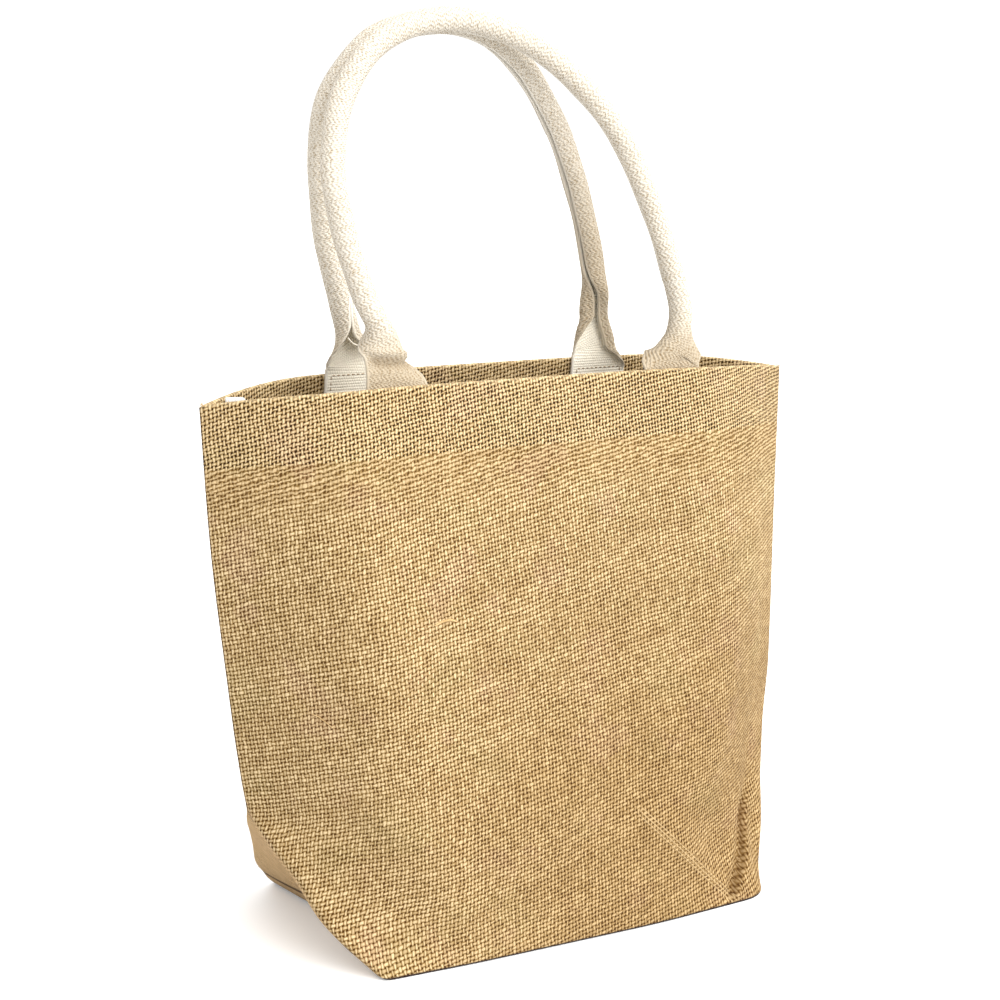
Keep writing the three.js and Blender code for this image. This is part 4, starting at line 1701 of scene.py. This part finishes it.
def plain_weave_group() -> None:
    """Builds the group for open plain weave, read in thread counts."""
    inputs = {"Warp": 0.0, "Weft": 0.0, "Warp Width": 0.36, "Weft Width": 0.38, "Uneven": 0.25}
    outputs = ("Height", "Gap", "Warp Up", "Tone", "Crown", "Spark", "Weft Top")
    g, source, out = start_group("plain_weave", inputs, outputs)
    given = source.outputs
    warp, weft = given["Warp"], given["Weft"]
    numbers, tops, tones = [], [], []
    for own, other, width, start in (
        (warp, weft, given["Warp Width"], 0.0),
        (weft, warp, given["Weft Width"], 500.0),
    ):
        number = g.math("FLOOR", own)
        off = g.centred(g.minus(own, number))
        along = g.vector(g.times_plus(number, 3.7, start), g.times(other, 0.45))
        life = g.centred(g.noise(along, 1.0, 1.0))
        half = g.times(width, g.times_plus(g.times(life, given["Uneven"]), 4.0, 1.0))
        ratio = g.over(off, half)
        numbers.append(number)
        tops.append(g.math("SQRT", g.minus(1.0, g.times(ratio, ratio), clamp=True)))
        tones.append(g.plus(g.chance(g.plus(number, start)), g.times(life, 1.6)))
    heights = []
    for top, own, crossed, swing in zip(tops, (weft, warp), numbers, (0.42, -0.42), strict=True):
        turn = g.times(g.centred(g.minus(own, crossed)), math.pi)
        lift = g.times_plus(g.math("COSINE", turn), swing, 1.0)
        raised = g.times(g.times_plus(top, 0.58, lift), g.math("GREATER_THAN", top, 0.0))
        heights.append(g.minus(raised, 1.0))
    height = g.math("MAXIMUM", *heights)
    warp_up = g.math("GREATER_THAN", *heights)
    crossing = g.times_plus(numbers[0], 31.7, g.times(numbers[1], 0.618))
    g.fill(
        out,
        Height=height,
        Gap=g.spread(height, -0.45, -0.8),
        Warp_Up=warp_up,
        Tone=g.either(warp_up, *tones),
        Crown=g.either(warp_up, *tops),
        Spark=g.chance(crossing),
        Weft_Top=tops[1],
    )


def herringbone_group() -> None:
    """Builds the group for herringbone webbing, read in millimetres."""
    inputs = {"Across": 0.0, "Along": 0.0, "Inner": 0.0}
    outputs = ("Height", "Tone", "Selvedge")
    g, source, out = start_group("herringbone_webbing", inputs, outputs)
    across, along, inner = source.outputs[:3]
    wander = g.times(g.centred(g.noise(g.vector(across, along), 0.33)), 2.2)
    zigzag = g.math("PINGPONG", g.over(g.plus(along, wander), 5.0), 0.5)
    lines = g.plus(g.over(g.plus(across, wander), 2.5), g.times(zigzag, 1.6))
    picks = g.wave(g.plus(along, g.times(lines, 0.6)), 1.25)
    outer = g.times_plus(picks, 0.35, g.times(g.wave(lines), 0.65))
    row = g.over(along, 1.75)
    dash = g.wave(g.plus(g.over(across, 1.5), g.times(g.math("FLOOR", row), 0.5)))
    ribbed = g.times_plus(dash, 0.4, g.times(g.wave(g.centred(row)), 0.55))
    middle = g.either(inner, ribbed, outer)
    selvedge = g.spread(g.math("ABSOLUTE", across), 17.4, 18.0)
    cord = g.times_plus(g.wave(along, 0.9), 0.12, 0.3)
    height = g.either(selvedge, cord, middle)
    g.fill(out, Height=height, Tone=g.plus(wander, 0.5), Selvedge=selvedge)


def fuzz_group() -> None:
    """Builds the group for the fine unevenness of spun yarn, read in millimetres."""
    inputs = {"Across": 0.0, "Along": 0.0, "Fineness": 3.0}
    g, source, out = start_group("yarn_fuzz", inputs, ("Height",))
    across, along, fineness = source.outputs[:3]
    scaled = (g.times(place, fineness) for place in (across, along))
    g.fill(out, Height=g.noise(g.vector(*scaled), 1.0, 3.0))


def start_material(
    name: str, roughness: float, sheen: float, specular: float
) -> tuple[Material, Graph, Node]:
    """Makes a material with an empty Principled shader.

    Args:
        name: The material's name.
        roughness: Its plain roughness.
        sheen: Its sheen.
        specular: How much it reflects.

    Returns:
        The material, its graph and its shader.
    """
    material = bpy.data.materials.new(name)
    material.use_nodes = True
    graph = Graph(material.node_tree)
    shader = next(node for node in material.node_tree.nodes if node.type == "BSDF_PRINCIPLED")
    graph.fill(shader, Roughness=roughness, Specular_IOR_Level=specular)
    graph.fill(shader, Sheen_Weight=sheen, Sheen_Roughness=0.6)
    return material, graph, shader


def add_bump(graph: Graph, shader: Node, *layers: tuple[Socket, float, float]) -> None:
    """Puts relief on a material.

    Args:
        graph: The material's graph.
        shader: Its shader.
        *layers: Each layer's height, strength and distance in metres.
    """
    for height, strength, distance in layers:
        bump = graph.add("ShaderNodeBump")
        graph.fill(bump, Strength=strength, Distance=distance, Height=height)
        for link in list(shader.inputs["Normal"].links):
            graph.fill(bump, Normal=link.from_socket)
        graph.fill(shader, Normal=bump.outputs["Normal"])


@dataclass(frozen=True)
class CreaseLine:
    """A sharp crease on the front panel, where threads are pushed up, in millimetres.

    Attributes:
        start: Its first end, across the cloth and up.
        end: Its last end.
        width: How far it spreads sideways.
        lines: How many light lines it shows.
    """

    start: Span
    end: Span
    width: float
    lines: int

    def marks(self, g: Graph, u: Socket, v: Socket) -> tuple[Socket, Socket]:
        """Draws the crease.

        Args:
            g: The material's graph.
            u: The place across the cloth.
            v: The height on the cloth.

        Returns:
            A mask that is 1 on its lines, and one that is 1 on the strip that they cross.
        """
        (u0, v0), (u1, v1) = self.start, self.end
        length = math.hypot(u1 - u0, v1 - v0)
        c, s = (u1 - u0) / length, (v1 - v0) / length
        du, dv = g.minus(u, u0), g.minus(v, v0)
        run = g.plus(g.times(du, c), g.times(dv, s))
        off = g.minus(g.times(dv, c), g.times(du, s))
        ends = g.times(g.spread(run, 0, 14), g.spread(run, length, length - 10))
        near = g.spread(g.math("ABSOLUTE", off), 0.75 * self.width, 0.45 * self.width)
        strip = g.times(ends, near)
        ridges = g.spread(g.wave(off, 1.5 * self.width / self.lines), 0.1, 0.75)
        return g.times(strip, ridges), strip


@dataclass(frozen=True)
class JuteCloth:
    """What the jute's material reads at a place; band is 1 on the hem, and below just below it."""

    g: Graph
    uv: Socket
    u: Socket
    v: Socket
    band: Socket
    below: Socket
    patch: Socket
    fuzz: Socket


@dataclass(frozen=True)
class JuteFinish:
    """Coarse golden brown jute in open plain weave; colours are linear, sizes in millimetres.

    Attributes:
        warp_pitch: Distance between warp threads.
        weft_pitch: Distance between weft threads.
        skew: How fast a weft climbs across the cloth.
        warp_width: Half a warp's width against its pitch, and how much wider it is on the hem.
        weft_width: The same of a weft, and how much wider it is below the hem.
        light: Painted highlights on the threads' crowns; also used for the crease lines and the
            rim's highlight.
        golden: The threads.
        shaded: Painted shade on the threads' lower parts and in the narrow trough.
        pinkish: The threads in some patches.
        olive: The threads in other patches.
        smoother: The smooth short sides.
        open_gap: The gaps on the hem.
        backed_gap: The gaps elsewhere.
        edge_shadow: The lower edge.
        seam_shadow: The seams.
        low_shade_tint: Painted shade that the lower part of the panels is multiplied by.
        hem_zone: How far below the hem the closer threads start and are full.
        facet_span: The heights where the short sides get smooth.
        facet_share: How smooth they get.
        corner_seam: How high the seam of the boxed corners runs on the short sides.
        seam_reach: How far the corner seam's shadow spreads, and how far it is full.
        side_reach: The same of the side seam's, from the seam.
        crease: The sharp crease at the front's right corner.
    """

    warp_pitch: float = 2.22
    weft_pitch: float = 2.57
    skew: float = 0.23
    warp_width: Span = (0.315, -0.035)
    weft_width: tuple[float, float, float] = (0.355, -0.06, 0.04)
    light: Colour = (0.68, 0.525, 0.31)
    golden: Colour = (0.276, 0.170, 0.058)
    shaded: Colour = (0.115, 0.056, 0.012)
    pinkish: Colour = (0.292, 0.172, 0.082)
    olive: Colour = (0.264, 0.174, 0.059)
    smoother: Colour = (0.76, 0.52, 0.28)
    open_gap: Colour = (0.028, 0.012, 0.003)
    backed_gap: Colour = (0.070, 0.028, 0.004)
    edge_shadow: Colour = (0.022, 0.012, 0.011)
    seam_shadow: Colour = (0.055, 0.026, 0.012)
    low_shade_tint: Colour = (0.79, 0.725, 0.63)
    hem_zone: Span = (36.0, 10.0)
    facet_span: Span = (96.0, 70.0)
    facet_share: float = 0.65
    corner_seam: float = 15.5
    seam_reach: Span = (2.9, 1.0)
    side_reach: Span = (1.3, 0.3)
    crease: CreaseLine = CreaseLine((40, 75), (120, -2), 4.2, 3)

    def cloth(self, g: Graph) -> JuteCloth:
        """Reads the cloth.

        Args:
            g: The material's graph.

        Returns:
            What it reads.
        """
        uv = g.cloth()
        u, v, _ = g.split(uv)
        hem_edge = BAG_HEIGHT - HEM_DEPTH
        band = g.spread(v, hem_edge - 0.8, hem_edge + 0.4)
        zone = g.spread(v, *(hem_edge - reach for reach in self.hem_zone))
        below, patch = g.times(zone, g.rest(band)), g.noise(uv, 0.022, 3.0)
        return JuteCloth(g, uv, u, v, band, below, patch, g.fuzz(u, v, 2.4))

    def weave(self, on: JuteCloth) -> dict[str, Socket]:
        """Lays the threads, which wander a little and are wavier just below the hem.

        Args:
            on: What is read of the cloth.

        Returns:
            What the weave's group gives, by name.
        """
        g = on.g
        sideways = g.centred(g.noise(on.uv, 0.055))
        upwards = g.centred(g.noise(g.vector(on.v, on.u, 5.0), 0.035))
        fine = g.centred(g.noise(g.vector(on.u, on.v, 9.0), 0.33, 1.0))
        warp = g.times_plus(fine, 0.9, g.times_plus(sideways, 3.0, on.u))
        level = g.times_plus(upwards, 3.2, g.minus(on.v, g.times(on.u, self.skew)))
        weft = g.plus(g.times(fine, g.times_plus(on.below, 1.6, 0.9)), level)
        tight = g.times(g.centred(g.noise(on.uv, 0.02)), 0.12)
        warp_width = g.times_plus(on.band, self.warp_width[1], self.warp_width[0])
        weft_width = g.times_plus(on.band, self.weft_width[1], self.weft_width[0])
        weft_width = g.times_plus(on.below, self.weft_width[2], weft_width)
        weave = g.place(
            "plain_weave",
            Warp=g.over(warp, self.warp_pitch),
            Weft=g.over(weft, self.weft_pitch),
            Warp_Width=g.plus(warp_width, tight),
            Weft_Width=g.plus(weft_width, tight),
            Uneven=0.36,
        )
        return {socket.name: socket for socket in weave.outputs}

    def yarn(self, on: JuteCloth, weave: dict[str, Socket]) -> Socket:
        """Colours the threads, with painted shade in their lower parts and painted highlights on
        their crowns.

        Args:
            on: What is read of the cloth.
            weave: What the weave's group gives.

        Returns:
            The threads' colour.
        """
        g, height, crown, spark = on.g, weave["Height"], weave["Crown"], weave["Spark"]
        other_patch = g.noise(g.vector(on.v, on.u, 40.0), 0.03)
        base = g.mix(g.spread(on.patch, 0.52, 0.66), self.golden, self.olive)
        base = g.mix(g.times(g.spread(other_patch, 0.55, 0.68), 0.8), base, self.pinkish)
        shade = g.times_plus(g.spread(height, 0.0, 1.0), 0.35, g.times(crown, 0.75))
        for uneven, share in ((on.fuzz, 0.6), (weave["Tone"], 0.3), (spark, 0.12)):
            shade = g.times_plus(g.centred(uneven), share, shade)
        # Painted highlights on the threads' crowns, and on the weft crests just below the hem.
        bright = g.times(g.spread(height, 0.3, 0.95), g.spread(crown, 0.4, 0.95))
        for share in (
            g.spread(spark, 0.1, 0.9, 0.85, 1.1),
            g.times_plus(weave["Warp Up"], 0.22, 0.5),
            g.times_plus(on.below, -0.6, g.times_plus(on.band, 0.4, 1.0)),
        ):
            bright = g.times(bright, share)
        crest = g.times(g.spread(weave["Weft Top"], 0.72, 0.98), g.times(on.below, 0.5))
        bright = g.plus(bright, crest)
        yarn = g.mix(g.spread(shade, 0.1, 0.62), self.shaded, base)
        lights = g.plus(g.spread(shade, 0.9, 1.5), bright, clamp=True)
        return g.mix(lights, yarn, self.light)

    def shadows(self, on: JuteCloth, colour: Socket, groove: Socket) -> Socket:
        """Paints shade on the panels' lower part, in the trough, in the seams and along the lower
        edge, and a highlight along the rim.

        Args:
            on: What is read of the cloth.
            colour: The colour so far.
            groove: 1 along the corner seams.

        Returns:
            The whole colour.
        """
        g = on.g
        # Painted shade in the front's narrow trough.
        colour = g.mix(g.times(g.attribute("pressed"), 0.75), colour, self.shaded)
        # Painted shade: darker towards the bottom of the panels and less so at the left; the same
        # tint also darkens the cloth just below the hem.
        low = g.spread(g.times_plus(g.centred(on.patch), 120.0, on.v), 300, 60)
        low = g.times(low, g.spread(on.u, -160, 60, 0.12, 1.0))
        low = g.math("MAXIMUM", low, g.times(on.below, 0.5))
        colour = g.mix(low, colour, self.low_shade_tint, "MULTIPLY")
        colour = g.mix(g.times(groove, 0.85), colour, self.seam_shadow)
        span = (PANEL_HALF_WIDTH - reach for reach in self.side_reach)
        side_seam = g.spread(g.math("ABSOLUTE", on.u), *span, 0.0, 0.55)
        colour = g.mix(side_seam, colour, self.seam_shadow)
        colour = g.mix(g.spread(on.v, 2.2, 1.1), colour, self.edge_shadow)
        # Painted highlight along the rim's fold.
        rim = g.spread(on.v, BAG_HEIGHT - 1.6, BAG_HEIGHT - 0.4, 0.0, 0.4)
        return g.mix(rim, colour, self.light)

    def make(self) -> Material:
        """Builds the material.

        Returns:
            The material.
        """
        material, g, shader = start_material("woven_jute", 0.86, 0.03, 0.1)
        on = self.cloth(g)
        weave = self.weave(on)
        marks, strip = self.crease.marks(g, on.u, on.v)
        short_side = g.attribute("short_side")
        facet = g.times(short_side, g.spread(on.v, *self.facet_span, 0.0, self.facet_share))
        yarn = self.yarn(on, weave)
        yarn = g.mix(g.times(marks, 0.8, clamp=True), yarn, self.light)
        yarn = g.mix(g.times(facet, 0.8), yarn, self.smoother)
        closed = g.minus(g.times_plus(strip, -0.85, 1.0), facet, clamp=True)
        closed = g.times(closed, g.times_plus(on.below, -0.7, 1.0))
        hollow = g.mix(on.band, self.backed_gap, self.open_gap)
        colour = g.mix(g.times(weave["Gap"], closed), yarn, hollow)
        off_seam = g.math("ABSOLUTE", g.minus(on.v, self.corner_seam))
        groove = g.times(g.spread(off_seam, *self.seam_reach), g.spread(short_side, 0.4, 0.9))
        colour = self.shadows(on, colour, groove)
        g.fill(shader, Base_Color=colour, Roughness=g.times_plus(on.fuzz, 0.16, 0.76))
        relief = g.times_plus(g.centred(on.fuzz), 0.5, weave["Height"])
        relief = g.times(relief, g.times_plus(facet, -0.9, 1.0))
        raised = g.minus(g.times(marks, 0.3), g.times(groove, 1.6))
        add_bump(g, shader, (raised, 0.8, 0.0009), (relief, 0.9, 0.00045))
        return material


@dataclass(frozen=True)
class CottonFinish:
    """Undyed herringbone cotton webbing; colours are linear.

    Attributes:
        light: The threads' crowns.
        deep: The valleys between them.
        selvedge: The woven edges.
        inner: The face that is rolled to the inside, made lighter than the outer face as painted
            light.
        shadowed: Painted shade in the pressed valley of a foot.
        foot_shade_tint: Painted shade that the outer face is multiplied by near the feet.
    """

    light: Colour = (0.74, 0.685, 0.59)
    deep: Colour = (0.43, 0.34, 0.22)
    selvedge: Colour = (0.82, 0.78, 0.70)
    inner: Colour = (0.97, 0.91, 0.77)
    shadowed: Colour = (0.30, 0.22, 0.13)
    foot_shade_tint: Colour = (0.64, 0.575, 0.48)

    def make(self) -> Material:
        """Builds the material.

        Returns:
            The material.
        """
        material, g, shader = start_material("cotton_webbing", 0.82, 0.1, 0.15)
        u, v, _ = g.split(g.cloth())
        inner = g.attribute("inner_face")
        weave = g.place("herringbone_webbing", Across=u, Along=v, Inner=inner)
        height, tone, selvedge = weave.outputs
        fuzz = g.fuzz(u, v, 2.2)
        clear = g.spread(g.noise(g.vector(u, v, 3.0), 0.42), 0.3, 0.7, 0.35, 1.0)
        valleys = g.times(g.minus(g.spread(height, -0.95, 0.15), 1.0), clear)
        shade = g.plus(g.times_plus(g.centred(tone), 0.5, 1.0), valleys, clamp=True)
        colour = g.mix(shade, self.deep, self.light)
        # Painted light: the inner face is made lighter than the outer one.
        inner_painted_light = g.times(inner, g.times_plus(shade, 0.3, 0.68))
        colour = g.mix(inner_painted_light, colour, self.inner)
        colour = g.mix(g.times(selvedge, 0.7), colour, self.selvedge)
        # Painted shade on the outer face near the feet, and far up the back handle's right leg.
        low = g.times(g.attribute("foot_shade_share"), g.rest(inner))
        colour = g.mix(low, colour, self.foot_shade_tint, "MULTIPLY")
        # Painted shade in the pressed valley of a foot.
        colour = g.mix(g.times(g.attribute("pressed"), 0.5), colour, self.shadowed)
        g.fill(shader, Base_Color=colour, Roughness=g.times_plus(fuzz, 0.2, 0.7))
        relief = g.times_plus(g.centred(fuzz), 0.35, height)
        relief = g.times(relief, g.times_plus(inner, -0.45, 1.0))
        add_bump(g, shader, (relief, 0.9, 0.00036))
        return material


@dataclass(frozen=True)
class TapeFinish:
    """Smooth white woven tape; colours are linear.

    Attributes:
        light: The threads' crowns.
        deep: The hollows between them.
        threads: How many threads a millimetre has, across and along.
        half_width: Half a thread's width against its pitch.
    """

    light: Colour = (0.76, 0.76, 0.75)
    deep: Colour = (0.60, 0.58, 0.56)
    threads: Span = (2.6, 2.9)
    half_width: float = 0.46

    def make(self) -> Material:
        """Builds the material.

        Returns:
            The material.
        """
        material, g, shader = start_material("white_tape", 0.6, 0.15, 0.3)
        u, v, _ = g.split(g.cloth())
        weave = g.place(
            "plain_weave",
            Warp=g.times(u, self.threads[0]),
            Weft=g.times(v, self.threads[1]),
            Warp_Width=self.half_width,
            Weft_Width=self.half_width,
            Uneven=0.04,
        )
        height = weave.outputs["Height"]
        fuzz = g.fuzz(u, v, 0.6)
        shade = g.plus(g.spread(height, -0.4, 0.6), g.centred(fuzz), clamp=True)
        colour = g.mix(shade, self.deep, self.light)
        g.fill(shader, Base_Color=colour, Roughness=g.times_plus(fuzz, 0.3, 0.45))
        add_bump(g, shader, (height, 0.5, 0.00012))
        return material


@dataclass(frozen=True)
class StrandFinish:
    """Spun strands that are a little different from each other; colours are linear.

    Attributes:
        name: The material's name.
        light: The lightest strands.
        deep: The deepest ones.
        twist: How often a strand is twisted, in radians over its length.
    """

    name: str
    light: Colour
    deep: Colour
    twist: float

    def make(self) -> Material:
        """Builds the material.

        Returns:
            The material.
        """
        material, g, shader = start_material(self.name, 0.75, 0.05, 0.2)
        along, number, _ = g.split(g.cloth())
        own = g.chance(g.math("ROUND", number))
        fuzz = g.fuzz(number, along, 4.0)
        ply = g.math("SINE", g.times(along, self.twist))
        shade = g.times_plus(own, 0.6, g.times(fuzz, 0.5))
        colour = g.mix(g.times_plus(ply, 0.15, shade, clamp=True), self.deep, self.light)
        g.fill(shader, Base_Color=colour, Roughness=g.times_plus(fuzz, 0.3, 0.6))
        add_bump(g, shader, (ply, 0.5, 0.00008))
        return material


LOOSE_FIBRE = StrandFinish("loose_fibre", (0.72, 0.52, 0.27), (0.38, 0.23, 0.08), 9.0)
SEWING_THREAD = StrandFinish("sewing_thread", (0.42, 0.30, 0.17), (0.20, 0.13, 0.06), 26.0)
PALE_THREAD = StrandFinish("pale_thread", (0.86, 0.80, 0.70), (0.62, 0.54, 0.42), 60.0)


@dataclass(frozen=True)
class FloorFinish:
    """A plain pale floor, with a painted glow that only the camera sees and that lightens its
    shadows; colours are linear.

    Attributes:
        pale: Its colour.
        darker: How much darker it is in its faint clouds.
        glow: How strongly it shines by itself, as painted light seen only by the camera.
        bounce: How much light it throws back on the bag.
    """

    pale: Colour = (0.90, 0.90, 0.90)
    darker: float = 0.985
    glow: float = 0.20
    bounce: float = 0.62

    def make(self) -> Material:
        """Builds the material.

        Returns:
            The material.
        """
        material, g, shader = start_material("pale_floor", 0.8, 0.0, 0.1)
        cloud = g.noise(g.add("ShaderNodeTexCoord").outputs["Object"], 0.6, 1.0)
        colour = g.mix(cloud, self.pale, tuple(part * self.darker for part in self.pale))
        # The glow is painted light, seen only by the camera.
        g.fill(shader, Base_Color=colour, Emission_Color=WHITE, Emission_Strength=self.glow)
        matt = g.add("ShaderNodeBsdfDiffuse")
        g.fill(matt, Color=(self.bounce, self.bounce, self.bounce, 1.0))
        out = material.node_tree.nodes["Material Output"]
        g.show(out, matt.outputs[0], shader.outputs[0])
        return material


# The studio and the whole bag.


@dataclass(frozen=True)
class Sun:
    """A light far off; way points to it, and softness is how wide it looks, in degrees."""

    name: str
    way: Place
    softness: float
    power: float
    warmth: float = 0.3

    def hang(self) -> None:
        """Hangs the light."""
        data = bpy.data.lights.new(self.name, "SUN")
        data.angle, data.energy = math.radians(self.softness), self.power
        data.color = (1.0, 1.0 - 0.05 * self.warmth, 1.0 - 0.13 * self.warmth)
        made = bpy.data.objects.new(self.name, data)
        bpy.context.scene.collection.objects.link(made)
        made.matrix_world = Vector(self.way).to_track_quat("Z", "Y").to_matrix().to_4x4()


@dataclass
class Studio:
    """Floor, light and camera.

    Attributes:
        focal_pixels: The focal length in the picture's pixels.
        turn: The camera's way round the bag, in degrees.
        raise_angle: Its angle above level.
        roll: How far it leans.
        distance: How far it stands away, in metres.
        target: What it looks at.
        floor_size: How wide the floor is, in metres.
        picture: How many pixels wide the picture is.
        dim: How strongly the room lights from low on the left.
        bright: How strongly it lights from above on the right.
        warm: The colour of its light from low on the left.
        backdrop: How bright the room itself looks.
        suns: The soft lights.
    """

    focal_pixels: float = 2040.8
    turn: float = -28.53
    raise_angle: float = 11.69
    roll: float = 0.6
    distance: float = 1.2153
    target: Place = (-0.0067, 0.0, 0.25085)
    floor_size: float = 30.0
    picture: int = 1000
    dim: float = 0.5
    bright: float = 1.5
    warm: Colour = (1.0, 0.92, 0.82)
    backdrop: float = 1.15
    suns: tuple[Sun, ...] = (
        Sun("key", (0.95, -0.6, 1.25), 48.0, 1.55),
        Sun("front", (0.3, -1.0, 0.5), 40.0, 1.85),
    )

    def camera(self) -> None:
        """Sets up the camera at the picture's viewing angle."""
        turn, up = math.radians(self.turn), math.radians(self.raise_angle)
        back = Vector((math.sin(turn) * math.cos(up), -math.cos(turn) * math.cos(up), math.sin(up)))
        right = Vector((math.cos(turn), math.sin(turn), 0.0))
        above = back.cross(right)
        roll = math.radians(self.roll)
        level = math.cos(roll) * right + math.sin(roll) * above
        top = math.cos(roll) * above - math.sin(roll) * right
        data = bpy.data.cameras.new("camera")
        data.sensor_width = 36.0
        data.lens = self.focal_pixels / self.picture * data.sensor_width
        data.clip_end = 100.0
        made = bpy.data.objects.new("camera", data)
        bpy.context.scene.collection.objects.link(made)
        turned = Matrix((level, top, back)).transposed().to_4x4()
        turned.translation = Vector(self.target) + back * self.distance
        made.matrix_world = turned
        bpy.context.scene.camera = made

    def floor(self) -> Piece:
        """Lays the floor.

        Returns:
            The floor's object.
        """
        half = self.floor_size / 2 / MM
        corners = np.array([(-half, -half, 0), (half, -half, 0), (half, half, 0), (-half, half, 0)])
        floor = new_object("floor", corners, [(0, 1, 2, 3)])
        floor.data.materials.append(FloorFinish().make())
        return floor

    def surroundings(self) -> None:
        """Sets up the white room, which gives most light from above and from the right."""
        world = bpy.data.worlds.new("white_room")
        bpy.context.scene.world = world
        world.use_nodes = True
        g = Graph(world.node_tree)
        seen = world.node_tree.nodes["Background"]
        g.fill(seen, Color=WHITE, Strength=self.backdrop)
        lighting = g.add("ShaderNodeBackground")
        x, y, z = g.split(g.add("ShaderNodeTexCoord").outputs["Generated"])
        toward = g.plus(x, g.times_plus(z, 2.0, g.times(y, -0.8)))
        side = g.times(toward, 0.42)
        colour = g.mix(g.spread(side, -1.0, 0.6), self.warm, WHITE[:3])
        strength = g.spread(side, -1.0, 1.0, self.dim, self.bright)
        g.fill(lighting, Color=colour, Strength=strength)
        g.show(world.node_tree.nodes["World Output"], lighting.outputs[0], seen.outputs[0])

    def light(self) -> None:
        """Sets up the lights."""
        self.surroundings()
        for sun in self.suns:
            sun.hang()
        view = bpy.context.scene.view_settings
        view.view_transform, view.look = "Standard", "None"

    def build(self) -> None:
        """Sets up the whole studio."""
        self.floor()
        self.light()
        self.camera()


@dataclass
class JuteToteBag:
    """The whole bag, built piece by piece and dressed."""

    body: Body
    handles: tuple[Handle, ...]
    tab: SeamTab
    fibres: LooseFibres
    sewing: FootSewing

    def dress(self, piece: Piece, material: Material) -> None:
        """Gives a piece its finish and lets it ride.

        Args:
            piece: The piece.
            material: Its material.
        """
        piece.data.materials.append(material)
        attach(piece, "root")
        LOG.info("%s: %d faces, finish %s", piece.name, len(piece.data.polygons), material.name)

    def build(self) -> None:
        """Builds and dresses all pieces, and hides the imported solids that they replace."""
        for build_group in (plain_weave_group, herringbone_group, fuzz_group):
            build_group()
        jute = JuteFinish().make()
        cotton = CottonFinish().make()
        body = self.body.build()
        self.dress(body, jute)
        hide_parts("body")
        fibres = self.fibres.build()
        self.dress(fibres, LOOSE_FIBRE.make())
        for handle in self.handles:
            strap = handle.build()
            self.dress(strap, cotton)
            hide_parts(handle.node)
        self.dress(self.sewing.build(self.handles), SEWING_THREAD.make())
        self.dress(self.sewing.loose_thread(), PALE_THREAD.make())
        tab = self.tab.build()
        self.dress(tab, TapeFinish().make())
        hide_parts("seam_tab")


def main() -> None:
    """Builds the studio and the bag."""
    logging.basicConfig(level=logging.INFO, format="%(message)s")
    Studio().build()
    JuteToteBag(
        body=BODY,
        handles=(FRONT_HANDLE, BACK_HANDLE),
        tab=SeamTab(),
        fibres=LooseFibres(BODY),
        sewing=FootSewing(),
    ).build()
    bpy.context.view_layer.update()


if __name__ == "__main__":
    main()
